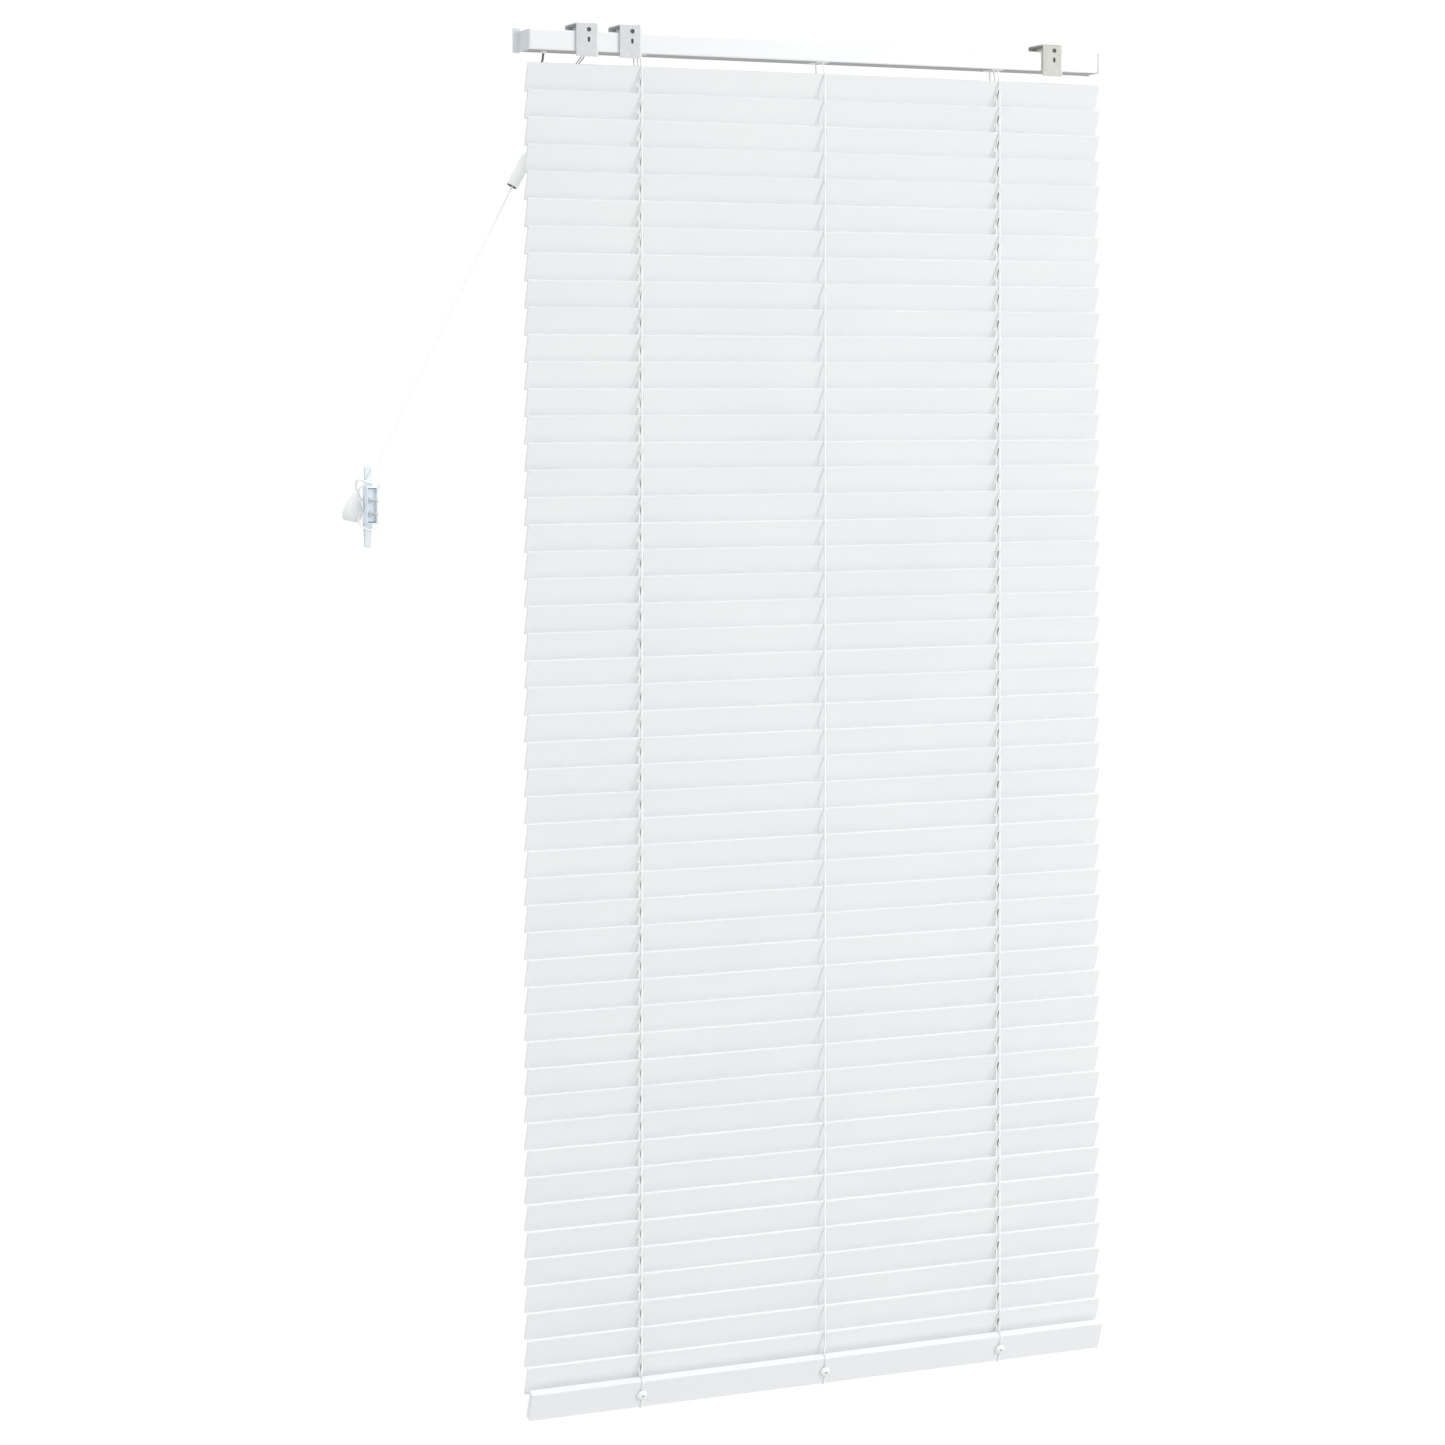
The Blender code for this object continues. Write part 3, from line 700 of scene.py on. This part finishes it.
def make_slats():
    thickness_way = at_rest(SLATS[0] + "_tilt", 0, 0, 1) - pivot(SLATS[0] + "_tilt")
    for name in SLATS:
        slat = piece(name + "_painted", refined(name, 0.5, 3), SLAT_PAINT, name, replaces=(name,))
        # Walls of the lift-cord slots: bare wood darkened as painted shade.
        slat.data.materials.append(BARE_WOOD_AND_SHADE)
        centres = [at_rest(name + "_tilt", x, 0, -PIVOT_RISE) / 1000 for x in LIFTED]
        for face in slat.data.polygons:
            inside = min((face.center - centre).length for centre in centres) < mm(9)
            if inside and abs(face.normal.dot(thickness_way)) < 0.3:
                face.material_index = 1


def rung_route(joint, x, side):
    """From the window edge under the slat to its room edge, past one side of the cord slot."""
    out = RUNG / 2
    under = -PIVOT_RISE - HALF_THICKNESS - out
    bow = 3.7 * side
    local = [(0, -HALF_SLAT - out, -PIVOT_RISE + 0.2), (0.1 * bow, -HALF_SLAT - out, under + 0.5),
             (0.2 * bow, -HALF_SLAT + 0.5, under), (0.7 * bow, -13.5, under), (bow, -9.5, under), (bow, 9.5, under),
             (0.7 * bow, 13.5, under), (0.2 * bow, HALF_SLAT - 0.5, under), (0.1 * bow, HALF_SLAT + out, under + 0.5),
             (0, HALF_SLAT + out, -PIVOT_RISE + 0.2)]
    return [at_rest(joint, x + dx, y, z) for dx, y, z in local]


def make_rungs():
    for name in SLATS:
        joint = name + "_tilt"
        routes = [rung_route(joint, x, side) for x in LADDERS for side in (-1, 1)]
        piece(name + "_rungs", tubes(name + "_rungs", routes, RUNG, 6), RUNG_BRAID, name, flats=False)


# ------------------------------------------------------------ ladders and cords

LADDER_SIDE = {"rear": -1, "front": 1}
EXITS = {"rear": 6.8, "front": 29.0, "lift": 17.0}    # Y where a string leaves the headrail
EXIT_Z = -32.0
DRUM_TOUCH = 7.6


def edge_point(joint, x, side, out=0.0):
    """The middle of a slat's window edge (side -1) or room edge (side 1)."""
    return at_rest(joint, x, side * (HALF_SLAT + out), -PIVOT_RISE)


def make_ladder_strings():
    """The upright strings: bent onto the first slat's edge and onto the rail's, tied to each slat between."""
    first, last = SLATS[0] + "_tilt", "rail_tilt"
    for which, side in LADDER_SIDE.items():
        routes = []
        for x in LADDERS:
            top, foot = edge_point(first, x, side, 0.7), edge_point(last, x, side, 0.7)
            y = edge_point(first, x, side).y + side * STRING_GAP
            fall = 3.0 if side < 0 else 5.0
            routes.append([top, Vector((x, (top.y + y) / 2, top.z - 0.4)), Vector((x, y, top.z - fall))]
                          + [Vector((x, y, pivot(name + "_tilt").z)) for name in SLATS[2:]]
                          + [Vector((x, y, foot.z + 14)), Vector((x, (foot.y + y) / 2, foot.z + 5)), foot])
            for name in SLATS[1:]:
                tie = edge_point(name + "_tilt", x, side, 0.2)
                routes.append([Vector((x, y, tie.z)), tie])
        name = f"ladder_cord_{which}"
        piece(f"ladder_strings_{which}", tubes(name, routes, STRING, 8), STRING_BRAID, f"{which}_strings",
              replaces=(name,), flats=False)


def make_lift_cords():
    first, last = SLATS[0] + "_tilt", "rail_tilt"
    routes = []
    for x in LIFTED:
        top, foot = at_rest(first, x, 0, -PIVOT_RISE), at_rest(last, x, 0, -PIVOT_RISE)
        routes.append([top + Vector((0, 0, 1))] + [Vector((x, top.y, pivot(n + "_tilt").z)) for n in SLATS[1:]] + [foot])
    piece("lift_cords", tubes("lift_cords", routes, STRING, 8), STRING_BRAID, "lift_cords",
          replaces=("lift_cord",), flats=False)


def subdivided(route, step=2.0):
    """The same straight runs with more points, so that they can bend."""
    route = [Vector(p) for p in route]
    path = [route[0]]
    for a, b in zip(route, route[1:]):
        count = max(1, math.ceil((b - a).length / step))
        path += [a.lerp(b, i / count) for i in range(1, count + 1)]
    return path


def make_top_strings():
    """Each string's stretch between the headrail and the first slat."""
    joint = SLATS[0] + "_tilt"
    for x, place in zip(LADDERS, ("left", "middle", "right")):
        window, room = edge_point(joint, x, -1, 0.7), edge_point(joint, x, 1, 0.7)
        runs = {"rear": [(x, EXITS["rear"], EXIT_Z), window],
                "front": [(x, EXITS["front"], EXIT_Z), (x, 19.6, -74.0), (x, 18.9, -79.6),
                          room + Vector((0, 0.9, -0.1)), room]}
        if x in LIFTED:
            runs["lift"] = [(x, EXITS["lift"], EXIT_Z), at_rest(joint, x, 0, -PIVOT_RISE)]
        for which, run in runs.items():
            name = f"top_string_{which}_{place}"
            mesh = tubes(name, [subdivided(run)], STRING, 8)
            obj = piece(name, mesh, STRING_BRAID, None, flats=False)
            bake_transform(obj)


def make_headrail_strings():
    """Inside the headrail: ladder strings up to their drums, lift cords along to the lock."""
    routes = []
    for x in LADDERS:
        for which, side in LADDER_SIDE.items():
            drum = (x, ROD[0] + side * DRUM_TOUCH, ROD[1])
            routes.append([(x, EXITS[which], EXIT_Z), drum, (x, drum[1] - side * 1.2, ROD[1] + 3.0)])
    lift_y, lift_z = 9.0, -27.5
    for x, lane in zip(LIFTED, (0.0, 2.6)):
        y, z = lift_y + lane, lift_z + lane
        routes.append(smooth_route([(x, EXITS["lift"], EXIT_Z), (x - 0.5, EXITS["lift"] - 1, -29.4), (x - 4, y + 2, z),
                                    (x - 14, y, z), (-268.0 + lane, y, z), (-280.0, 20.0, z - 1), (-288.0, 30.5, -25.0)], 4.0))
    piece("headrail_strings", tubes("headrail_strings", routes, STRING, 8), STRING_BRAID, "frame",
          flats=False)


make_slats()
make_rungs()
make_ladder_strings()
make_lift_cords()
make_top_strings()
make_headrail_strings()


# --------------------------------------------------------------- bottom rail

RAIL_UNDER = -PIVOT_RISE + HALF_THICKNESS - 10.0      # the rail's lower face in a level slat's frame


def rail_axis():
    """Out of the rail's lower face, at rest."""
    return at_rest("rail_tilt", 0, 0, -1) - pivot("rail_tilt")


def make_rail():
    piece("bottom_rail_painted", refined("bottom_rail", 0.8, 3), RAIL_PAINT, "rail", replaces=("bottom_rail",))


def make_plugs():
    """Button plugs that clamp the string ends in the rail."""
    out = rail_axis()
    plugs = []
    for x in LADDERS:
        foot = at_rest("rail_tilt", x, 0, RAIL_UNDER)
        profile = [(0, -5.4), (3.6, -5.4), (4.2, -4.6), (4.2, 0.6), (6.0, 0.6), (6.35, 1.0), (6.3, 1.9), (5.5, 3.3),
                   (4.0, 4.3), (2.5, 4.7), (1.9, 4.6), (1.7, 4.2), (1.6, 0.6), (0, 0.6)]
        plugs.append(turned("plug", profile, 32, foot, out))
    piece("rail_plugs", joined("rail_plugs", plugs), WHITE_PLASTIC, "rail")


def make_rail_strings():
    """From each edge of the rail over its lower face into the plug."""
    lift = STRING / 2
    under = RAIL_UNDER - lift
    routes = []
    for x in LADDERS:
        for side in (-1, 1):
            local = [(side * (HALF_SLAT + lift), -PIVOT_RISE), (side * (HALF_SLAT + lift), RAIL_UNDER + 0.6),
                     (side * (HALF_SLAT + 0.4), under + 0.2), (side * (HALF_SLAT - 0.6), under), (side * 5.2, under)]
            drift = 1.6 * side
            steps = len(local) - 1
            routes.append([at_rest("rail_tilt", x + drift * i / steps, y, z) for i, (y, z) in enumerate(local)])
    piece("rail_strings", tubes("rail_strings", routes, STRING, 8), STRING_BRAID, "rail", flats=False)


make_rail()
make_plugs()
make_rail_strings()


# ------------------------------------------------------------------ headrail

OPENINGS = {"ladder": (16.0, 31.0), "lock": (22.0, 8.0)}
LOCK_CENTRE = (-294.0, 33.0)
HOOK_HOLE = (-350.0, 20.5)


def headrail_corners():
    """The middle line of the channel's section, lip to lip."""
    half = SHEET / 2
    back, front = RAIL_Y[0] + half, RAIL_Y[1] - half
    bottom, top = RAIL_Z[0] + half, RAIL_Z[1] - half
    return [(RAIL_Y[0] + LIP, top), (back, top), (back, bottom), (front, bottom), (front, top), (RAIL_Y[1] - LIP, top)]


def make_headrail():
    end = RAIL_HALF - CAP
    channel = strip("headrail", headrail_corners(), SHEET, 1.3, -end, end)
    low, high = RAIL_Z[0] - 2, RAIL_Z[0] + 3
    cutters = []
    for x in LADDERS:
        dx, dy = OPENINGS["ladder"][0] / 2, OPENINGS["ladder"][1] / 2
        cutters.append(block("opening", (x - dx, ROD[0] - dy, low), (x + dx, ROD[0] + dy, high)))
    dx, dy = OPENINGS["lock"][0] / 2, OPENINGS["lock"][1] / 2
    x, y = LOCK_CENTRE
    cutters.append(block("opening", (x - dx, y - dy, low), (x + dx, y + dy, high)))
    cutters.append(pin("hook_hole", (*HOOK_HOLE, low), (*HOOK_HOLE, high), 4.0))
    channel = piece("headrail_channel", cut(channel, cutters), ENAMEL, "frame", replaces=("headrail",))
    channel.data.materials.append(UNDERSIDE_SHADE_ENAMEL)
    # The underside's downward faces get the grey: painted shade under the headrail.
    for face in channel.data.polygons:
        if face.normal.z < -0.9 and face.center.z < mm(RAIL_Z[0] + 0.5):
            face.material_index = 1


def make_grommets():
    """Plastic bushes round the ladder openings in the headrail's floor."""
    rims = []
    for x in LADDERS:
        dx, dy = OPENINGS["ladder"][0] / 2, OPENINGS["ladder"][1] / 2
        outer = block("grommet", (x - dx + 0.1, ROD[0] - dy + 0.1, RAIL_Z[0] - 0.7), (x + dx - 0.1, ROD[0] + dy - 0.1, RAIL_Z[0] + 2.2), 0.4)
        hole = block("hole", (x - dx + 1.3, ROD[0] - dy + 1.3, RAIL_Z[0] - 3), (x + dx - 1.3, ROD[0] + dy - 1.3, RAIL_Z[0] + 4))
        rims.append(cut(outer, [hole]))
    piece("ladder_grommets", joined("ladder_grommets", rims), WHITE_PLASTIC, "frame")


def make_end_caps():
    """A plate at each end, with a spigot in the channel and a flange on the room side."""
    # The right cap takes the greyer copy of its plastic: painted shade on that end.
    caps = ((-1, "end_cap_left", CAP_PLASTIC), (1, "end_cap_right", SHADED_CAP_PLASTIC))
    for side, name, material in caps:
        outer, inner = side * RAIL_HALF, side * (RAIL_HALF - CAP)
        x = sorted((outer, inner))
        plate = block("cap", (x[0], RAIL_Y[0], RAIL_Z[0]), (x[1], RAIL_Y[1], RAIL_Z[1]), 0.5)
        x = sorted((inner, side * (RAIL_HALF - 11)))
        spigot = block("spigot", (x[0], RAIL_Y[0] + 1.3, RAIL_Z[0] + 1.3), (x[1], RAIL_Y[1] - 1.3, RAIL_Z[1] - 2.5), 0.6)
        x = sorted((inner, side * (RAIL_HALF + 7.0)))
        foot = RAIL_Z[0] - (1.4 if side < 0 else 0.0)
        flange = block("flange", (x[0], 38.6, foot), (x[1], 41.0, -5.3), 0.8)
        piece(name, joined(name, [plate, spigot, flange]), material, "frame")


def make_bracket(left, name, material, replaces=()):
    """An L of zinc-plated sheet, its right edge rolled back, with a spring clip under the arm."""
    right = left + BRACKET_FLAT
    half = PLATE / 2
    corners = [(half, -BRACKET_HEIGHT), (half, -half), (BRACKET_REACH - half, -half), (BRACKET_REACH - half, -5.5)]
    angle = strip("angle", corners, PLATE, 1.4, left, right)
    hole_x, middle = left + 15.5, left + (BRACKET_FLAT + BRACKET_ROLL) / 2
    slot_ends = [(hole_x + 1.6 * math.cos(math.tau * i / 24), -19 + math.copysign(1.4, math.sin(math.tau * (i + 0.5) / 24))
                  + 1.6 * math.sin(math.tau * i / 24)) for i in range(24)]
    holes = [pin("hole", (hole_x, -3, -7.5), (hole_x, 5, -7.5), 2.7), prism("slot", slot_ends, -3, 5, "XZ"),
             pin("hole", (middle, 30, -6), (middle, 30, 3), 2.7)]
    angle = rounded(cut(angle, holes), 0.22, 2, 60)
    roll = rounded(prism("roll", [(right, 0.0), (right + BRACKET_ROLL, 1.9), (right + BRACKET_ROLL, 2.7), (right, PLATE)],
                         -BRACKET_HEIGHT, -0.4, "XY"), 0.2, 2, 30)
    sheet, back, front = 1.2, 8.6, 33.4
    low, high = -12.1 + sheet / 2, -PLATE - sheet / 2 + 0.2
    clip_path = [(back - 3.2, low + 1.0), (back - 1.2, low), (back, low + 0.6), (back, high), (front, high),
                 (front, low + 0.6), (front + 1.2, low), (front + 3.2, low + 1.0)]
    clip = rounded(strip("clip", clip_path, sheet, 0.7, middle - 6, middle + 6), 0.2, 2, 60)
    rivet = turned("rivet", [(0, -2.0), (1.6, -2.0), (2.1, -1.4), (2.2, 0), (0, 0)], 20, (middle, 15, -PLATE - sheet + 0.1))
    piece(name, joined(name, [angle, clip, rivet]), material, "frame", replaces=replaces)
    # The rolled edge takes the lighter zinc: a painted highlight.
    piece(name + "_edge", roll, HIGHLIGHT_ZINC, "frame")


def make_brackets():
    names = ("bracket_left_plated", "bracket_inner_plated", "bracket_right_plated")
    node_names = (("bracket_left",), (), ("bracket_right",))
    # The right bracket takes the darker, warmer zinc: painted shade.
    for left, name, material, nodes in zip(BRACKET_LEFT_EDGES, names, (ZINC, ZINC, WARM_SHADED_ZINC), node_names):
        make_bracket(left, name, material, nodes)
    # Dark sheets between each plate and the headrail: painted shade seen through the bracket's holes.
    hole_shades = [rounded(strip("hole_shade", [(left + 5.0, 2.6), (left + 7.0, 2.0), (left + 22.0, 2.0), (left + 24.0, 2.6)],
                             0.4, 1.0, -23.5, -3.0, "XY"), 0.1, 2, 60) for left in BRACKET_LEFT_EDGES]
    piece("bracket_hole_shades", joined("bracket_hole_shades", hole_shades), HOLE_SHADE_STEEL, "frame")


def make_rod():
    """A six-sided steel rod and three plastic drums, turning together."""
    lows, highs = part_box("tilt_rod")
    shaft = turned("shaft", [(0, 0), (2.6, 0), (3.0, 0.5), (3.0, (highs.x - lows.x) * 1000 - 0.5),
                             (2.6, (highs.x - lows.x) * 1000), (0, (highs.x - lows.x) * 1000)], 6,
                   (lows.x * 1000, *ROD), (1, 0, 0))
    piece("tilt_rod_steel", rounded(shaft, 0.25, 2), ROD_STEEL, "rod", replaces=("tilt_rod",))
    drums = []
    for x in LADDERS:
        profile = [(3.05, -8.1), (7.6, -8.1), (8.2, -7.6), (8.2, -6.9), (6.9, -6.4), (6.8, -6.0), (6.8, 6.0), (6.9, 6.4),
                   (8.2, 6.9), (8.2, 7.6), (7.6, 8.1), (3.05, 8.1)]
        drum = turned("drum", profile + [profile[0]], 36, (x, *ROD), (1, 0, 0))
        drums.append(drum)
    piece("ladder_drums", joined("ladder_drums", drums), WHITE_PLASTIC, "rod")


def make_cradles():
    """Two cheeks on a base carry the rod at each drum."""
    cradles = []
    for x in LADDERS:
        parts = []
        for side in (-1, 1):
            low, high = sorted((x + side * 9.2, x + side * 11.2))
            steps = 12
            notch = [(ROD[0] + 3.4 * math.cos(math.pi * (1 + i / steps)), ROD[1] + 3.4 * math.sin(math.pi * (1 + i / steps)))
                     for i in range(steps + 1)]
            outline = [(13.5, -31.7), (28.5, -31.7), (28.5, -16.0), (ROD[0] + 3.4, -14.0)] + notch[::-1] + [(ROD[0] - 3.4, -14.0), (13.5, -16.0)]
            parts.append(rounded(prism("cheek", outline, low, high, "YZ"), 0.3, 2, 60))
        for y in (13.5, 25.5):
            parts.append(block("base", (x - 9.4, y, -31.8), (x + 9.4, y + 3.0, -29.8), 0.3))
        cradles += parts
    piece("drum_cradles", joined("drum_cradles", cradles), WHITE_PLASTIC, "frame")


def make_tilter():
    """The worm-gear box on the rod's end, the shaft out of its foot and the hook for the wand."""
    box = block("box", (-368.0, 8.0, -31.8), (-337.2, 34.0, -12.4), 1.4)
    hub = pin("hub", (-337.4, *ROD), (-334.6, *ROD), 5.0, 24, 0.5)
    nozzle = turned("nozzle", [(0, 0), (3.5, 0), (3.5, 3.4), (2.6, 4.6), (0, 4.6)], 24, (*HOOK_HOLE, -31.0), (0, 0, -1))
    screws = [pin("screw", (x, y, -12.6), (x, y, -11.6), 2.0, 16, 0.3) for x in (-364.0, -341.2) for y in (12.0, 30.0)]
    piece("tilter_box", joined("tilter_box", [box, hub, nozzle]), WHITE_PLASTIC, "frame")
    piece("tilter_screws", joined("tilter_screws", screws), ROD_STEEL, "frame")
    route = smooth_route([(-350.0, 20.5, -33.0), (-350.0, 21.5, -36.5), (-348.6, 27.0, -41.5), (-346.0, 37.5, -44.0),
                          (-344.3, 50.0, -46.5), (-344.0, 56.0, -50.0), (-344.0, 57.0, -54.8)], 1.5)
    half_circle = [(1.7 * math.sin(math.pi * i / 10), -1.7 * math.cos(math.pi * i / 10)) for i in range(1, 10)]
    ball = turned("ball", [(0, -1.7)] + half_circle + [(0, 1.7)], 20, (-344.0, 57.0, -56.0))
    piece("tilter_hook", joined("tilter_hook", [tubes("hook", [route], 2.6, 12), ball]), HOOK_STEEL, "frame")


def make_lock():
    """The cord lock: a housing, its toothed roller and the guide that the pull cords leave by."""
    side_outline = [(26.4, -31.8), (37.6, -31.8), (37.6, -17.0), (34.0, -14.4), (28.0, -14.4), (26.4, -17.0)]
    cheeks = [rounded(prism("cheek", side_outline, x, x + 1.6, "YZ"), 0.3, 2, 60) for x in (-306.4, -283.6)]
    cheeks.append(block("bridge", (-305.0, 26.6, -20.0), (-283.4, 28.4, -15.0), 0.4))
    cheeks.append(block("bridge", (-305.0, 35.8, -22.0), (-283.4, 37.4, -16.0), 0.4))
    piece("cord_lock", joined("cord_lock", cheeks), WHITE_PLASTIC, "frame")
    teeth = 16
    outline = []
    for i in range(teeth * 2):
        radius = 2.4 if i % 2 else 3.0
        outline.append((32.0 + radius * math.cos(math.tau * i / (teeth * 2)), -20.6 + radius * math.sin(math.tau * i / (teeth * 2))))
    roller = prism("roller", outline, -304.4, -284.0, "YZ")
    piece("lock_roller", joined("lock_roller", [roller, pin("axle", (-306.8, 32.0, -20.6), (-281.6, 32.0, -20.6), 1.2, 16, 0.2)]),
          ROD_STEEL, "frame")


def make_wand():
    piece("tilt_wand_moulded", refined("tilt_wand", 0.35, 3, 30), WAND_PLASTIC, "wand", replaces=("tilt_wand",))


make_headrail()
make_grommets()
make_end_caps()
make_brackets()
make_rod()
make_cradles()
make_tilter()
make_lock()
make_wand()


# --------------------------------------------------------------------- cleat

CLEAT = (-562.0, -557.3)              # X and Z of its middle
CLEAT_ENDS = (-576.2, -534.4)
CLEAT_HALF_WIDTH = 6.6
CLEAT_DEPTH = 16.5


def cleat_shell():
    """An open box with its rim to the wall, and a notch in its left side under the horns."""
    x, z = CLEAT
    low, high = CLEAT_ENDS
    wall = 1.5
    shell = block("shell", (x - CLEAT_HALF_WIDTH, 0, low), (x + CLEAT_HALF_WIDTH, CLEAT_DEPTH, high), 1.2)
    inner = CLEAT_HALF_WIDTH - wall
    hollow = block("hollow", (x - inner, -4, low + wall), (x + inner, CLEAT_DEPTH - 2.2, high - wall))
    middle = (low + high) / 2
    notch = prism("notch", [(5.2, middle), (CLEAT_DEPTH - 1.6, middle + 13.5), (CLEAT_DEPTH - 1.6, middle - 13.5)],
                  x - 12, x - 2, "YZ")
    return cut(shell, [hollow, notch])


def horn_bar():
    """Two horns in one bar, thickest at the middle, with round tips."""
    x, z = CLEAT
    half = 46.2
    low, high = CLEAT_DEPTH - 1.0, CLEAT_DEPTH + 5.0
    side = [(low, z - 33), (low + 1.6, z - half + 2.0), (low + 3.0, z - half), (high - 1.6, z - half), (high, z - half + 2.2),
            (high, z + half - 2.2), (high - 1.6, z + half), (low + 3.0, z + half), (low + 1.6, z + half - 2.0), (low, z + 33)]
    front = [(x - 3.5, z - half - 1), (x + 3.5, z - half - 1), (x + 3.9, z - 30), (x + 5.2, z - 20), (x + 5.4, z), (x + 5.2, z + 22),
             (x + 3.9, z + 30), (x + 3.5, z + half + 1), (x - 3.5, z + half + 1), (x - 3.9, z + 30), (x - 5.2, z + 22), (x - 5.4, z),
             (x - 5.2, z - 20), (x - 3.9, z - 30)]
    bar = prism("bar", side, x - 8, x + 8, "YZ")
    mask = prism("mask", front, low - 3, high + 3, "XZ")
    return rounded(cut(bar, [mask], "INTERSECT"), 1.1, 3, 25)


def make_cleat():
    x, z = CLEAT
    bosses, screws = [], []
    for side in (-1, 1):
        boss_z = z + side * 7.7
        bosses.append(pin("boss", (x, 0.2, boss_z), (x, CLEAT_DEPTH - 1.2, boss_z), 3.3, 24, 0.3))
        profile = [(0, 0), (1.3, 0.2), (1.8, 1.0), (2.1, 2.6)]
        for turn in range(9):
            height = 3.2 + 1.7 * turn
            profile += [(1.6, height), (1.6, height + 0.7), (2.1, height + 1.1), (2.1, height + 1.3)]
        profile += [(1.6, 18.8), (0, 18.8)]
        screws.append(turned("screw", profile, 20, (x, -18.0, boss_z), (0, 1, 0)))
        screws.append(turned("head", [(0, 0), (3.0, 0), (3.4, 0.4), (3.1, 1.1), (1.6, 1.6), (0, 1.7)], 24,
                             (x, CLEAT_DEPTH + 4.9, boss_z), (0, 1, 0)))
    low, high = CLEAT_ENDS
    panel = block("panel", (x - 5.3, 4.2, low + 2.3), (x + 5.3, 5.8, high - 2.3), 0.5)
    piece("cord_cleat_moulded", joined("cord_cleat_moulded", [cleat_shell(), horn_bar(), panel, *bosses]), CLEAT_PLASTIC,
          "frame", replaces=("cord_cleat",))
    # A greyer block closing the hollow behind the notch: painted shade in the cavity.
    hollow_shade = block("hollow_shade", (x - 4.8, 6.4, low + 2.4), (x + 4.8, CLEAT_DEPTH - 2.6, high - 2.4), 0.4)
    piece("cleat_hollow_shade", hollow_shade, CAP_PLASTIC, "frame")
    piece("cleat_screws", joined("cleat_screws", screws), ROD_STEEL, "frame")


make_cleat()

bpy.context.scene.view_settings.view_transform = "Standard"
